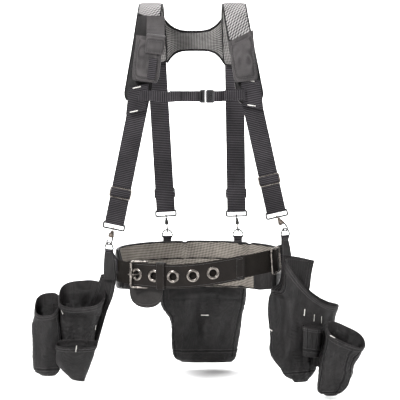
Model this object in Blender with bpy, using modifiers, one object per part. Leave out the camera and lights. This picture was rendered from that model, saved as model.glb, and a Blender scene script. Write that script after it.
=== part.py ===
"""Framing tool belt: a padded waist belt, a suspender yoke and three hanging pouches.

Metres, +Z up. The origin is the centre of the waist oval at the belt's mid-height, the front
of the belt faces -Y, and left and right are a viewer's, looking at the front along +Y.
Each flat piece is a band: an open strip of surface that a Solidify modifier thickens.
"""

from math import atan, cos, pi, radians, sin

import bmesh
import bpy
from mathutils import Matrix, Vector

UP = Vector((0, 0, 1))
TOWARDS_VIEWER = Vector((0, -1, 0))
GAP = 0.0003  # left between pieces that touch

# Waist oval: the grommet strip's middle surface, which the other belt layers lie inside
WAIST_HALF_WIDTH = 0.222
WAIST_HALF_DEPTH = 0.160
FRONT_HEIGHT = 0.005  # the front strip's middle, left of the centre
FRONT_RISE = 0.030  # how much higher the strip is fastened at the right
RISE_START, RISE_END = -0.080, 0.220  # X, where that rise begins and ends

# Belt layers
STRIP_END_X = 0.117
STRIP_HEIGHT, STRIP_THICKNESS = 0.060, 0.0040
WEBBING_WIDTH, WEBBING_THICKNESS = 0.056, 0.0025
WEBBING_INSET = 0.0036  # the long webbing's middle, inside the oval
FOLD_THICKNESS = 0.0020
FOLD_INSET = 0.0056  # the short webbing's middle, inside the oval
PAD_TOP, PAD_BOTTOM, PAD_THICKNESS = 0.0545, -0.068, 0.015
PAD_INSET = 0.0128
PAD_CORNER = 0.030  # height cut off the top and the bottom of the back pad at each end
TOP_CORNER_RUN, BOTTOM_CORNER_RUN = radians(12), radians(60)
PAD_END_X = 0.2065  # where the pad ends, forward of the hips

# Grommets
GROMMET_COUNT = 5
GROMMET_PITCH = 0.050
GROMMET_START = -0.154  # X of the one that the prong goes through
GROMMET_BORE = 0.0095
GROMMET_BARREL = 0.0110
GROMMET_FLANGE = 0.0160
GROMMET_GRIP = 0.0030  # from the strip's middle to the inner face of a flange
GROMMET_CROWN = 0.0012  # thickness of a flange

# Buckle, measured along the strip from the first grommet
NOSE_ALONG, NOSE_PROUD = -0.014, 0.0082
HEEL_ALONG, HEEL_DEEP = 0.027, 0.0106
BUCKLE_HALF_HEIGHT = 0.033
BUCKLE_WIRE = 0.0019
ROLLER_RADIUS = 0.0034
ROLLER_BORE = 0.0023
PRONG_WIRE = 0.0018
PRONG_EYE = 0.0042  # middle radius of the loop round the heel bar
KEEPER_ALONG, KEEPER_WIDTH = 0.068, 0.023
KEEPER_FRONT, KEEPER_BACK = -0.0060, 0.0084  # its middle surface, outside and inside the strip
KEEPER_HEIGHT, KEEPER_THICKNESS = 0.0660, 0.0022
SLIDE_X = 0.197  # where the belt's slide sits
SLIDE_WIDTH, SLIDE_HEIGHT = 0.060, 0.042  # opening across the webbing, and length along it
SLIDE_BAR, SLIDE_THICKNESS, SLIDE_LEAN = 0.0042, 0.0030, radians(8)
GUARD_THICKNESS = 0.0024
SQUARENESS_OF_GUARD = 0.55  # power of its rounded outline: 1 is half an ellipse, less is squarer
GUARD_ALONG, GUARD_HALF_WIDTH, GUARD_INSET = 0.010, 0.056, 0.0172
GUARD_TOP, GUARD_SIDE, GUARD_ROUND = 0.022, -0.030, 0.052
FRAME_BEND = 0.0045  # corner radius of the wire frames

# Strap hardware
STRAP_WIDTH, STRAP_THICKNESS = 0.049, 0.0020
LOOP_WIDTH, LOOP_HEIGHT, LOOP_WIRE = 0.0546, 0.0150, 0.0017
LOOP_BEND = 0.0026
SLIDER_HEIGHT, SLIDER_WIRE = 0.0290, 0.0034
HOOK_LENGTH = 0.045  # from the loop's bar to the lowest point of the hook
HOOK_WIRE = 0.0021
HOOK_EYE, HOOK_EYE_WIRE = 0.0045, 0.0013
HOOK_BODY_TOP, HOOK_BODY_BOTTOM = -0.0052, -0.0230
BOW_HALF_WIDTH = 0.0078
GATE_WIRE = 0.0013
RING_WIDTH, RING_HEIGHT, RING_WIRE = 0.0275, 0.0200, 0.0016
RING_REACH = 0.0372  # from the loop's bar to the top of the ring that the hook holds
TAB_WIDTH = 0.0215
TAB_CLEARANCE = 0.0009  # from the belt's webbing, which curves behind the flat tab

# Yoke
YOKE_THICKNESS = 0.011
SHOULDERS = {
    # centre line from the front end over the shoulder to the back end, and the widths there
    "left_shoulder_pad": (
        ((-0.155, -0.088, 0.440), (-0.137, -0.082, 0.560), (-0.124, -0.050, 0.655),
         (-0.120, 0.000, 0.685), (-0.118, 0.050, 0.655), (-0.114, 0.080, 0.600), (-0.110, 0.090, 0.536)),
        0.070, 0.0625,
    ),
    "right_shoulder_pad": (
        ((0.134, -0.088, 0.440), (0.113, -0.082, 0.560), (0.096, -0.050, 0.655),
         (0.092, 0.000, 0.685), (0.091, 0.050, 0.655), (0.093, 0.080, 0.600), (0.096, 0.090, 0.530)),
        0.070, 0.0625,
    ),
}
BRIDGE_ENDS = ((-0.0766, -0.0840), (0.0625, 0.0578))  # X at the bottom and top of its two ends
BRIDGE_TOP, BRIDGE_BOTTOM = 0.617, 0.571

# Straps: top end, bottom end at the loop, and the slider's share of the way down
STRAPS = {
    "front_left": ((-0.1456, -0.0765, 0.455), (-0.2150, -0.046, 0.1265), 0.757),
    "front_right": ((0.1322, -0.0765, 0.455), (0.2005, -0.046, 0.1570), 0.720),
    "back_left": ((-0.1102, 0.1010, 0.550), (-0.0880, 0.156, 0.1365), 0.886),
    "back_right": ((0.0956, 0.1010, 0.545), (0.1040, 0.156, 0.1365), 0.886),
}
# Rings: where the top of the ring lies in plan, the way it faces, the bottom of its tab and
# the angle on the waist oval at which the tab is sewn
RINGS = {
    "front_left": ((-0.2290, -0.0510), (-0.60, -0.80, 0), 0.003, radians(197)),
    "front_right": ((0.2235, -0.0590), (0.60, -0.80, 0), 0.018, radians(350)),
    "back_left": ((-0.084, 0.1540), (0, -1, 0), 0.000, radians(112)),
    "back_right": ((0.108, 0.1470), (0, -1, 0), 0.000, radians(61)),
}

# Sternum strap
STERNUM_HEIGHT, STERNUM_WIDTH, STERNUM_THICKNESS = 0.4545, 0.025, 0.0020
CLIP_X, CLIP_Y = 0.020, -0.117  # where the two halves of the clip meet
CLIP_HALF_HEIGHT, CLIP_HALF_THICKNESS = 0.0165, 0.0045
SOCKET_LENGTH, CLIP_LENGTH, TONGUE_LENGTH = 0.020, 0.015, 0.013

# Shoulder pouches
PHONE_CENTRE = (-0.126, -0.1085, 0.547)
PHONE_SIZE = (0.068, 0.022, 0.110)
PHONE_LEAN = radians(7)
FLAP_WIDTH, FLAP_DROP, FLAP_THICKNESS = 0.046, 0.046, 0.0030
POCKET_CENTRE = (0.1140, -0.1030, 0.549)
POCKET_SIZE = (0.062, 0.011, 0.112)

WALL = 0.0028  # cloth of the pouches
RING_SIDES = 20  # corners of each pouch ring
SQUARENESS = 0.72  # power of the rounded outline: 1 is an ellipse, less is squarer

# Pouches, as rings from the mouth down: x, y, z, half width, half depth,
# slope along the width and pitch along the depth, as rise over run
POUCHES = {
    "left_main_pouch": (
        (-0.300, -0.052, -0.057, 0.060, 0.046, 0.05, 0.67),
        (-0.3035, -0.046, -0.110, 0.0515, 0.038, 0.03, 0.25),
        (-0.3085, -0.042, -0.155, 0.0460, 0.031, 0.0, 0.05),
        (-0.3135, -0.040, -0.205, 0.0410, 0.028, 0.0, 0.0),
        (-0.320, -0.038, -0.245, 0.033, 0.024, 0.0, 0.0),
        (-0.316, -0.038, -0.266, 0.020, 0.014, 0.0, 0.0),
    ),
    "left_lower_pocket": (
        (-0.310, -0.094, -0.178, 0.053, 0.020, 0.0, 0.35),
        (-0.318, -0.090, -0.222, 0.046, 0.020, 0.0, 0.1),
        (-0.318, -0.086, -0.252, 0.034, 0.016, -0.20, 0.0),
        (-0.309, -0.084, -0.275, 0.017, 0.009, -0.15, 0.0),
    ),
    "left_tube_pocket": (
        (-0.390, -0.050, -0.084, 0.031, 0.032, 0.10, 0.75),
        (-0.3925, -0.048, -0.150, 0.0355, 0.029, 0.05, 0.2),
        (-0.3915, -0.044, -0.215, 0.0355, 0.026, 0.0, 0.0),
        (-0.3895, -0.044, -0.256, 0.031, 0.022, 0.0, 0.0),
        (-0.3895, -0.044, -0.271, 0.020, 0.014, 0.0, 0.0),
    ),
    "right_main_pouch": (
        (0.292, -0.086, -0.019, 0.070, 0.032, -0.90, 0.30),
        (0.282, -0.088, -0.078, 0.070, 0.032, -0.62, 0.12),
        (0.264, -0.092, -0.098, 0.081, 0.031, -0.62, 0.08),
        (0.257, -0.092, -0.165, 0.075, 0.030, -0.10, 0.0),
        (0.254, -0.092, -0.198, 0.072, 0.028, 0.0, 0.0),
        (0.258, -0.092, -0.242, 0.052, 0.024, 0.0, 0.0),
        (0.262, -0.092, -0.264, 0.034, 0.016, 0.0, 0.0),
        (0.264, -0.092, -0.277, 0.018, 0.009, 0.0, 0.0),
    ),
    "right_tool_slots": (
        (0.291, -0.127, -0.128, 0.026, 0.009, -0.18, 0.2),
        (0.290, -0.128, -0.170, 0.025, 0.009, -0.18, 0.0),
        (0.285, -0.129, -0.203, 0.021, 0.007, -0.18, 0.0),
    ),
    "right_small_pouch": (
        (0.374, -0.136, -0.145, 0.0485, 0.034, -0.45, 0.60),
        (0.355, -0.136, -0.213, 0.0435, 0.031, -0.16, 0.15),
        (0.349, -0.132, -0.252, 0.0420, 0.027, -0.06, 0.0),
        (0.338, -0.132, -0.288, 0.0320, 0.020, 0.0, 0.0),
        (0.338, -0.132, -0.302, 0.0160, 0.011, 0.0, 0.0),
    ),
    "centre_pouch": (
        (0.0178, 0.204, -0.062, 0.118, 0.034, 0.0, -0.10),
        (0.0145, 0.204, -0.125, 0.115, 0.034, 0.0, 0.0),
        (0.0190, 0.202, -0.162, 0.101, 0.031, 0.0, 0.0),
        (0.0222, 0.200, -0.205, 0.092, 0.028, 0.0, 0.0),
        (0.0233, 0.198, -0.272, 0.084, 0.021, 0.0, 0.0),
        (0.0233, 0.198, -0.290, 0.070, 0.012, 0.0, 0.0),
    ),
}
# How far the middle of a mouth's rim hangs below the line between its ends
MOUTH_DIPS = {"right_main_pouch": 0.030}
# How far each pouch is turned about the vertical: its depth changes this much along its width
TURNS = {"right_main_pouch": 0.36, "right_tool_slots": 0.30, "right_small_pouch": 0.10}
# Seams that the pouches swing on, under the belt
LEFT_SEAM = (-0.238, -0.049, -0.012)
RIGHT_SEAM = (0.232, -0.058, 0.046)
CENTRE_SEAM = (0.018, 0.158, -0.034)
HANGER_THICKNESS = 0.003

MATERIALS = {
    # base colour, roughness, metallic
    "nylon": ((0.030, 0.029, 0.032), 0.85, 0.0),
    "webbing": ((0.055, 0.053, 0.057), 0.80, 0.0),
    "air_mesh": ((0.300, 0.290, 0.275), 0.90, 0.0),
    "leather": ((0.065, 0.058, 0.055), 0.60, 0.0),
    "steel": ((0.640, 0.620, 0.600), 0.30, 1.0),
    "bronze": ((0.380, 0.300, 0.260), 0.40, 1.0),
    "plastic": ((0.020, 0.020, 0.022), 0.45, 0.0),
}


# ---------------------------------------------------------------- helpers

def clear_scene():
    for obj in list(bpy.data.objects):
        bpy.data.objects.remove(obj)


def make_collection(name):
    collection = bpy.data.collections.new(name)
    bpy.context.scene.collection.children.link(collection)
    return collection


def make_material(name):
    colour, roughness, metallic = MATERIALS[name]
    material = bpy.data.materials.new(name)
    material.use_nodes = True
    shader = material.node_tree.nodes["Principled BSDF"]
    shader.inputs["Base Color"].default_value = (*colour, 1)
    shader.inputs["Roughness"].default_value = roughness
    shader.inputs["Metallic"].default_value = metallic
    material.diffuse_color = (*colour, 1)
    return material


def add_object(name, data, material_name):
    """Link new geometry to the belt's collection, with its own copy of the material."""
    obj = bpy.data.objects.new(name, data)
    data.materials.append(materials[material_name].copy())
    belt.objects.link(obj)
    return obj


def mesh_from(bm, name):
    bmesh.ops.recalc_face_normals(bm, faces=bm.faces)
    mesh = bpy.data.meshes.new(name)
    bm.to_mesh(mesh)
    bm.free()
    mesh.shade_smooth()
    mesh.set_sharp_from_angle(angle=radians(35))
    return mesh


def axes(origin, right, up):
    """A frame at origin whose X lies along right and whose Z is as near to up as it can be."""
    x = Vector(right).normalized()
    z = (Vector(up) - x * x.dot(Vector(up))).normalized()
    return Matrix.Translation(origin) @ Matrix((x, z.cross(x), z)).transposed().to_4x4()


def smooth_path(points, spans):
    """A Catmull-Rom curve through the points, with so many spans from each to the next."""
    knots = [Vector(point) for point in points]
    knots = [2 * knots[0] - knots[1], *knots, 2 * knots[-1] - knots[-2]]
    path = []
    for before, start, end, after in zip(knots, knots[1:], knots[2:], knots[3:]):
        for step in range(spans):
            t = step / spans
            path.append(0.5 * (2 * start + (end - before) * t
                               + (2 * before - 5 * start + 4 * end - after) * t ** 2
                               + (3 * start - before - 3 * end + after) * t ** 3))
    path.append(knots[-2])
    return path


def solidify(obj, thickness, offset=0.0):
    modifier = obj.modifiers.new("thickness", "SOLIDIFY")
    modifier.thickness = thickness
    modifier.offset = offset
    modifier.use_even_offset = True
    return modifier


def band(name, stations, thickness, material_name):
    """A strip through stations of two or more points across it, thickened evenly to both sides."""
    bm = bmesh.new()
    rows = [[bm.verts.new(point) for point in station] for station in stations]
    for row, following in zip(rows, rows[1:]):
        for near, far, next_far, next_near in zip(row, row[1:], following[1:], following):
            bm.faces.new((near, next_near, next_far, far))
    obj = add_object(name, mesh_from(bm, name), material_name)
    solidify(obj, thickness)
    return obj


def wire(name, points, radius, material_name, cyclic=True):
    """A round wire along straight spans between the points."""
    curve = bpy.data.curves.new(name, "CURVE")
    curve.dimensions = "3D"
    curve.bevel_depth = radius
    curve.bevel_resolution = 1
    curve.use_fill_caps = not cyclic
    spline = curve.splines.new("POLY")
    spline.points.add(len(points) - 1)
    for knot, point in zip(spline.points, points):
        knot.co = (*point, 1)
    spline.use_cyclic_u = cyclic
    return add_object(name, curve, material_name)


def as_mesh(obj):
    """Turn a curve object into a mesh object with welded caps, so that it can be joined or cut."""
    graph = bpy.context.evaluated_depsgraph_get()
    mesh = bpy.data.meshes.new_from_object(obj.evaluated_get(graph))
    bm = bmesh.new()
    bm.from_mesh(mesh)
    bmesh.ops.remove_doubles(bm, verts=bm.verts, dist=0.00001)
    bm.to_mesh(mesh)
    bm.free()
    name = obj.name
    matrix = obj.matrix_world.copy()
    bpy.data.objects.remove(obj)
    made = bpy.data.objects.new(name, mesh)
    made.matrix_world = matrix
    belt.objects.link(made)
    return made


def boolean(obj, other, operation):
    """Cut or join with a helper object, which leaves the render."""
    modifier = obj.modifiers.new(operation.lower(), "BOOLEAN")
    modifier.operation = operation
    modifier.solver = "EXACT"
    modifier.object = other
    other.hide_render = True
    other.display_type = "WIRE"
    for collection in list(other.users_collection):
        collection.objects.unlink(other)
    cutters.objects.link(other)


def box(name, size, matrix, material_name, bevel=0.0):
    bm = bmesh.new()
    bmesh.ops.create_cube(bm, size=1, matrix=Matrix.Diagonal((*size, 1)))
    obj = add_object(name, mesh_from(bm, name), material_name)
    obj.matrix_world = matrix
    if bevel:
        modifier = obj.modifiers.new("rounded edges", "BEVEL")
        modifier.width = bevel
        modifier.segments = 2
    return obj


def cylinder(name, radius, length, matrix, material_name, top_radius=None, sides=16):
    bm = bmesh.new()
    far_radius = radius if top_radius is None else top_radius
    bmesh.ops.create_cone(bm, cap_ends=True, segments=sides, radius1=radius, radius2=far_radius,
                          depth=length)
    obj = add_object(name, mesh_from(bm, name), material_name)
    obj.matrix_world = matrix
    return obj


def turned_ring(name, profile, matrix, material_name, sides):
    """A closed profile in X and Z, at +X, turned round the object's own Z axis."""
    bm = bmesh.new()
    points = [bm.verts.new((x, 0, z)) for x, z in profile]
    for index, point in enumerate(points):
        bm.edges.new((point, points[(index + 1) % len(points)]))
    mesh = bpy.data.meshes.new(name)
    bm.to_mesh(mesh)
    bm.free()
    obj = add_object(name, mesh, material_name)
    obj.matrix_world = matrix
    modifier = obj.modifiers.new("turned", "SCREW")
    modifier.steps = modifier.render_steps = sides
    modifier.use_merge_vertices = True
    modifier.merge_threshold = 0.00001
    return obj


def rounded_frame(width, height, corner, corner_points=3):
    """Points round a rectangle in X and Z with round corners, centred on the origin."""
    points = []
    for quarter, (side_x, side_z) in enumerate(((1, 1), (-1, 1), (-1, -1), (1, -1))):
        centre = (side_x * (width / 2 - corner), side_z * (height / 2 - corner))
        for step in range(corner_points):
            angle = (quarter + step / (corner_points - 1)) * pi / 2
            points.append((centre[0] + corner * cos(angle), 0, centre[1] + corner * sin(angle)))
    return points


def flat_plate(name, outlines, thickness, matrix, material_name):
    """A plate in X and Z: the first outline is its edge and the others are holes in it."""
    curve = bpy.data.curves.new(name, "CURVE")
    curve.dimensions = "2D"
    curve.fill_mode = "BOTH"
    curve.extrude = thickness / 2
    for outline in outlines:
        spline = curve.splines.new("POLY")
        spline.points.add(len(outline) - 1)
        for knot, (x, _, z) in zip(spline.points, outline):
            knot.co = (x, z, 0, 1)
        spline.use_cyclic_u = True
    obj = add_object(name, curve, material_name)
    obj.matrix_world = matrix @ Matrix.Rotation(pi / 2, 4, "X")
    return obj


# ---------------------------------------------------------------- the waist oval

def smoothstep(value):
    value = min(max(value, 0), 1)
    return value * value * (3 - 2 * value)


def oval(angle, inset=0.0):
    """A point on the waist oval, or inside it by inset, at height 0. The front is at 270 degrees."""
    outward = Vector((WAIST_HALF_DEPTH * cos(angle), WAIST_HALF_WIDTH * sin(angle), 0)).normalized()
    point = Vector((WAIST_HALF_WIDTH * cos(angle), WAIST_HALF_DEPTH * sin(angle), 0))
    return point - outward * inset


def belt_height(point):
    """Height of the belt's middle: it rises to the right at the front and is level at the back."""
    rise = FRONT_RISE * smoothstep((point.x - RISE_START) / (RISE_END - RISE_START))
    level = smoothstep(point.y / WAIST_HALF_DEPTH)
    return (FRONT_HEIGHT + rise) * (1 - level)


def angle_at_x(x):
    """The front angle of the oval at this X, found by halving the front half."""
    low, high = pi, 2 * pi
    for _ in range(40):
        middle = (low + high) / 2
        if oval(middle).x < x:
            low = middle
        else:
            high = middle
    return low


def angle_along(angle, distance):
    """The angle that lies a distance along the oval from another, to the right if positive."""
    steps = 200
    for _ in range(steps):
        slope = (oval(angle + 0.001) - oval(angle)).length / 0.001
        angle += distance / steps / slope
    return angle


def belt_axes(angle, inset=0.0):
    """A frame on the belt: X to the right along it, Y inward and Z up."""
    point = oval(angle, inset)
    point.z = belt_height(point)
    return axes(point, oval(angle + 0.001) - oval(angle - 0.001), UP)


def belt_stations(start, end, count, inset, height):
    """Edge points of a belt layer between two angles."""
    stations = []
    for step in range(count + 1):
        point = oval(start + (end - start) * step / count, inset)
        middle = point + UP * belt_height(point)
        stations.append((middle - UP * height / 2, middle + UP * height / 2))
    return stations


# ---------------------------------------------------------------- waist belt

def build_back_pad():
    start, end = angle_at_x(PAD_END_X) - 2 * pi, angle_at_x(-PAD_END_X)
    count = 45  # odd, so that the middle facet is flat to the wearer's back
    stations = []
    for step in range(count + 1):
        angle = start + (end - start) * step / count
        from_end = min(angle - start, end - angle)
        low_cut = PAD_CORNER * max(1 - from_end / BOTTOM_CORNER_RUN, 0)
        top_cut = PAD_CORNER * max(1 - from_end / TOP_CORNER_RUN, 0)
        point = oval(angle, PAD_INSET)
        stations.append((point + UP * (PAD_BOTTOM + low_cut), point + UP * (PAD_TOP - top_cut)))
    band("back_pad", stations, PAD_THICKNESS, "air_mesh")


def build_belt_layers():
    first = angle_at_x(GROMMET_START)
    strip_start = angle_along(first, NOSE_ALONG - 0.008)
    strip_end = angle_at_x(STRIP_END_X)
    strip = band("grommet_strip", belt_stations(strip_start, strip_end, 26, 0, STRIP_HEIGHT),
                 STRIP_THICKNESS, "leather")
    for number in range(GROMMET_COUNT):
        angle = angle_along(first, number * GROMMET_PITCH)
        facing = belt_axes(angle) @ Matrix.Rotation(pi / 2, 4, "X")
        hole = cylinder(f"strip_hole_{number + 1}", GROMMET_BARREL + GAP, 0.03, facing, "leather")
        boolean(strip, hole, "DIFFERENCE")
        grip, crown = GROMMET_GRIP, GROMMET_GRIP + GROMMET_CROWN
        shoulder = (GROMMET_BORE + GROMMET_FLANGE) / 2
        upper = [(GROMMET_BORE, grip), (shoulder, crown), (GROMMET_FLANGE, grip + 0.0004),
                 (GROMMET_FLANGE, grip), (GROMMET_BARREL, grip)]
        profile = upper + [(x, -z) for x, z in reversed(upper)]
        turned_ring(f"grommet_{number + 1}", profile, facing, "steel", 16)

    slide = angle_at_x(SLIDE_X)
    long_end = angle_along(first, NOSE_ALONG - 0.012)
    long_start = slide + radians(6) - 2 * pi
    band("belt_webbing", belt_stations(long_start, long_end, 48, WEBBING_INSET, WEBBING_WIDTH),
         WEBBING_THICKNESS, "webbing")


def build_buckle_webbing():
    """The short webbing: a fold round the heel bar, a run behind the strip, and the slide's end."""
    first = angle_at_x(GROMMET_START)
    heel = belt_axes(first) @ Vector((HEEL_ALONG, HEEL_DEEP, 0))
    local = belt_axes(first).to_3x3()
    turn = BUCKLE_WIRE + GAP + FOLD_THICKNESS / 2
    middles = []
    back_run = angle_along(first, HEEL_ALONG + 0.032)
    point = oval(back_run, FOLD_INSET + 2 * turn)
    middles.append(Vector((point.x, point.y, 0)))
    for step in range(7):
        angle = pi / 2 + pi * step / 6
        around = local @ Vector((turn * cos(angle), turn * sin(angle), 0))
        middles.append(Vector((heel.x + around.x, heel.y + around.y, 0)))
    run_start = angle_along(first, HEEL_ALONG + 0.014)
    run_end = angle_at_x(SLIDE_X) + radians(3.5)
    count = 22
    for step in range(count + 1):
        middles.append(oval(run_start + (run_end - run_start) * step / count, FOLD_INSET))
    stations = []
    for middle in middles:
        centre = middle + UP * belt_height(middle)
        stations.append((centre - UP * WEBBING_WIDTH / 2, centre + UP * WEBBING_WIDTH / 2))
    webbing = band("buckle_webbing", stations, FOLD_THICKNESS, "webbing")
    slot = box("prong_slot", (0.024, 0.018, 0.015), belt_axes(first) @
               Matrix.Translation((HEEL_ALONG - 0.003, HEEL_DEEP, 0)), "webbing")
    boolean(webbing, slot, "DIFFERENCE")


def build_buckle():
    base = belt_axes(angle_at_x(GROMMET_START))
    tilt = atan((HEEL_DEEP + NOSE_PROUD) / (HEEL_ALONG - NOSE_ALONG))
    middle = Vector(((NOSE_ALONG + HEEL_ALONG) / 2, (HEEL_DEEP - NOSE_PROUD) / 2, 0))
    length = (HEEL_ALONG - NOSE_ALONG) / cos(tilt)
    frame_axes = base @ Matrix.Translation(middle) @ Matrix.Rotation(tilt, 4, "Z")
    frame = wire("buckle_frame", rounded_frame(length, 2 * BUCKLE_HALF_HEIGHT, FRAME_BEND),
                 BUCKLE_WIRE, "steel")
    frame.matrix_world = frame_axes

    straight = 2 * (BUCKLE_HALF_HEIGHT - FRAME_BEND) - 2 * GAP
    profile = [(ROLLER_BORE, straight / 2), (ROLLER_RADIUS, straight / 2),
               (ROLLER_RADIUS, -straight / 2), (ROLLER_BORE, -straight / 2)]
    nose = frame_axes @ Matrix.Translation((-length / 2, 0, 0))
    turned_ring("buckle_roller", profile, nose, "steel", 16)

    heel = Vector((HEEL_ALONG, HEEL_DEEP, 0))
    path = [(PRONG_EYE * cos(angle), PRONG_EYE * sin(angle), 0)
            for angle in (radians(step) for step in range(150, -180, -30))]
    over_roller = -NOSE_PROUD - ROLLER_RADIUS - PRONG_WIRE - 2 * GAP
    behind_flange = GROMMET_GRIP + GROMMET_CROWN + PRONG_WIRE + 5 * GAP
    through = ((0.0190, behind_flange + 0.0028), (0.0135, behind_flange + 0.0008),
               (0.0070, behind_flange - 0.0006), (-0.0060, -0.0085), (-0.0105, over_roller),
               (NOSE_ALONG - 0.0050, over_roller))
    path += [(along - heel.x, deep - heel.y, 0) for along, deep in through]
    prong = wire("buckle_prong", path, PRONG_WIRE, "steel", cyclic=False)
    prong.matrix_world = base @ Matrix.Translation(heel)


def build_keeper():
    """A closed leather loop round the strip and the webbing behind it."""
    angle = angle_along(angle_at_x(GROMMET_START), KEEPER_ALONG)
    bm = bmesh.new()
    half_width, half_height = KEEPER_WIDTH / 2, KEEPER_HEIGHT / 2
    corners = ((KEEPER_BACK, half_height), (KEEPER_FRONT, half_height),
               (KEEPER_FRONT, -half_height), (KEEPER_BACK, -half_height))
    rows = [[bm.verts.new((x, y, z)) for x in (-half_width, half_width)] for y, z in corners]
    for index, row in enumerate(rows):
        following = rows[(index + 1) % len(rows)]
        bm.faces.new((row[0], following[0], following[1], row[1]))
    keeper = add_object("belt_keeper", mesh_from(bm, "belt_keeper"), "leather")
    keeper.matrix_world = belt_axes(angle)
    solidify(keeper, KEEPER_THICKNESS)


def build_guard():
    """The rounded leather flap that hangs behind the buckle."""
    middle = angle_along(angle_at_x(GROMMET_START), GUARD_ALONG)
    count = 14
    stations = []
    for step in range(count + 1):
        turn = pi * step / count
        angle = angle_along(middle, -GUARD_HALF_WIDTH * cos(turn))
        point = oval(angle, GUARD_INSET)
        low = GUARD_SIDE - GUARD_ROUND * max(sin(turn), 0) ** SQUARENESS_OF_GUARD
        stations.append((point + UP * low, point + UP * GUARD_TOP))
    band("buckle_guard", stations, GUARD_THICKNESS, "leather")


def tri_glide(name, width, height, bar, matrix, thickness):
    """A slide frame with two slots and a middle bar."""
    slot_height = (height - 3 * bar) / 2
    outer = rounded_frame(width + 2 * bar, height, bar)
    outlines = [outer]
    for side in (-1, 1):
        middle = side * (slot_height + bar) / 2
        outlines.append([(x, 0, z + middle) for x, _, z in
                         rounded_frame(width, slot_height, bar / 2, 2)])
    return flat_plate(name, outlines, thickness, matrix, "steel")


def build_belt_slide():
    base = belt_axes(angle_at_x(SLIDE_X)) @ Matrix.Translation((0, -0.0012, 0))
    upright = base @ Matrix.Rotation(pi / 2 - SLIDE_LEAN, 4, "Y")
    tri_glide("belt_slide", SLIDE_WIDTH, SLIDE_HEIGHT, SLIDE_BAR, upright, SLIDE_THICKNESS)


# ---------------------------------------------------------------- rings and their tabs

def build_ring(place):
    _, facing, tab_bottom, sewn_at = RINGS[place]
    bar_centre = ring_top(place) - UP * RING_HEIGHT
    base = axes(bar_centre, UP.cross(Vector(facing)), UP)
    half = RING_WIDTH / 2
    points = [(half - 0.002, 0, 0), (-half + 0.002, 0, 0)]
    arc_steps = 10
    for step in range(arc_steps + 1):
        angle = pi - pi * step / arc_steps
        points.append((half * cos(angle), 0, 0.0045 + (RING_HEIGHT - 0.0045) * sin(angle)))
    ring = wire(f"d_ring_{place}", points, RING_WIRE, "steel")
    ring.matrix_world = base

    turn = RING_WIRE + GAP + FOLD_THICKNESS / 2
    middles = [(turn, -0.004)]
    middles += [(turn * cos(pi * step / 6), turn * sin(pi * step / 6)) for step in range(7)]
    middles.append((-turn, -0.004))
    stations = [[base @ Vector((x, y, z)) for x in (-TAB_WIDTH / 2, TAB_WIDTH / 2)] for y, z in middles]
    foot = oval(sewn_at)
    knee = belt_height(foot) + WEBBING_WIDTH / 2
    for height in (knee, tab_bottom):
        stations.insert(0, tab_edge(sewn_at, height, TAB_CLEARANCE + FOLD_THICKNESS * 0.5))
        stations.append(tab_edge(sewn_at, height, TAB_CLEARANCE + FOLD_THICKNESS * 1.7))
    band(f"ring_tab_{place}", stations, FOLD_THICKNESS, "webbing")


def tab_edge(angle, height, away):
    """The left and right ends of a tab's edge that lies this far outside the belt's webbing."""
    inset = WEBBING_INSET - WEBBING_THICKNESS / 2 - away
    ends = [oval(angle_along(angle, side * TAB_WIDTH / 2), inset) + UP * height for side in (-1, 1)]
    return sorted(ends, key=lambda end: end.x) if sin(angle) > 0 else ends


# ---------------------------------------------------------------- suspender straps

def strap_axes(place):
    """A frame at the loop's top bar: Z up the strap, X across it and Y away from the viewer."""
    top, bottom, _ = STRAPS[place]
    up = (Vector(top) - Vector(bottom)).normalized()
    return axes(bottom, TOWARDS_VIEWER.cross(up) * -1, up)


def build_strap(place):
    top, bottom, slider_at = STRAPS[place]
    base = strap_axes(place)
    length = (Vector(top) - Vector(bottom)).length
    turn = LOOP_WIRE + GAP + STRAP_THICKNESS / 2
    slider_height = length * (1 - slider_at)
    middles = [(-turn, length), (-turn, slider_height)]
    middles += [(turn * cos(angle), turn * sin(angle))
                for angle in (pi + pi * step / 6 for step in range(7))]
    middles.append((turn, slider_height))
    stations = [tuple(base @ Vector((x, y, z)) for x in (-STRAP_WIDTH / 2, STRAP_WIDTH / 2))
                for y, z in middles]
    band(f"strap_{place}", stations, STRAP_THICKNESS, "webbing")

    outer_side = 1 if place.startswith("back") else -1
    beside = turn + STRAP_THICKNESS / 2 + GAP + SLIDER_WIRE / 2
    seat = base @ Matrix.Translation((0, outer_side * beside, slider_height))
    tri_glide(f"slider_{place}", STRAP_WIDTH + 0.001, SLIDER_HEIGHT, SLIDER_WIRE, seat, SLIDER_WIRE)

    loop = wire(f"strap_loop_{place}", rounded_frame(LOOP_WIDTH, LOOP_HEIGHT, LOOP_BEND),
                LOOP_WIRE, "steel")
    loop.matrix_world = base @ Matrix.Translation((0, 0, -LOOP_HEIGHT / 2))


def loop_bar(place):
    """The middle of the loop's lower bar."""
    return strap_axes(place) @ Vector((0, 0, -LOOP_HEIGHT))


def ring_top(place):
    """The top of a ring: the hook reaches it from the loop's bar at a set length."""
    bar = loop_bar(place)
    plan = Vector((*RINGS[place][0], 0))
    aside = Vector((plan.x - bar.x, plan.y - bar.y, 0))
    return plan + UP * (bar.z - (RING_REACH ** 2 - aside.length_squared) ** 0.5)


def hook_axes(place):
    """A frame at the loop's lower bar: -Z points at the ring and X lies along the bar."""
    bar = loop_bar(place)
    up = (bar - ring_top(place)).normalized()
    across = strap_axes(place).to_3x3() @ Vector((1, 0, 0))
    return axes(bar, across - up * across.dot(up), up)


def hook_twist(place):
    """How far the hook's own plane is turned from the loop's, so that it crosses the ring."""
    return radians(90) if place.startswith("back") else radians(42 if place.endswith("left") else -42)


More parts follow.
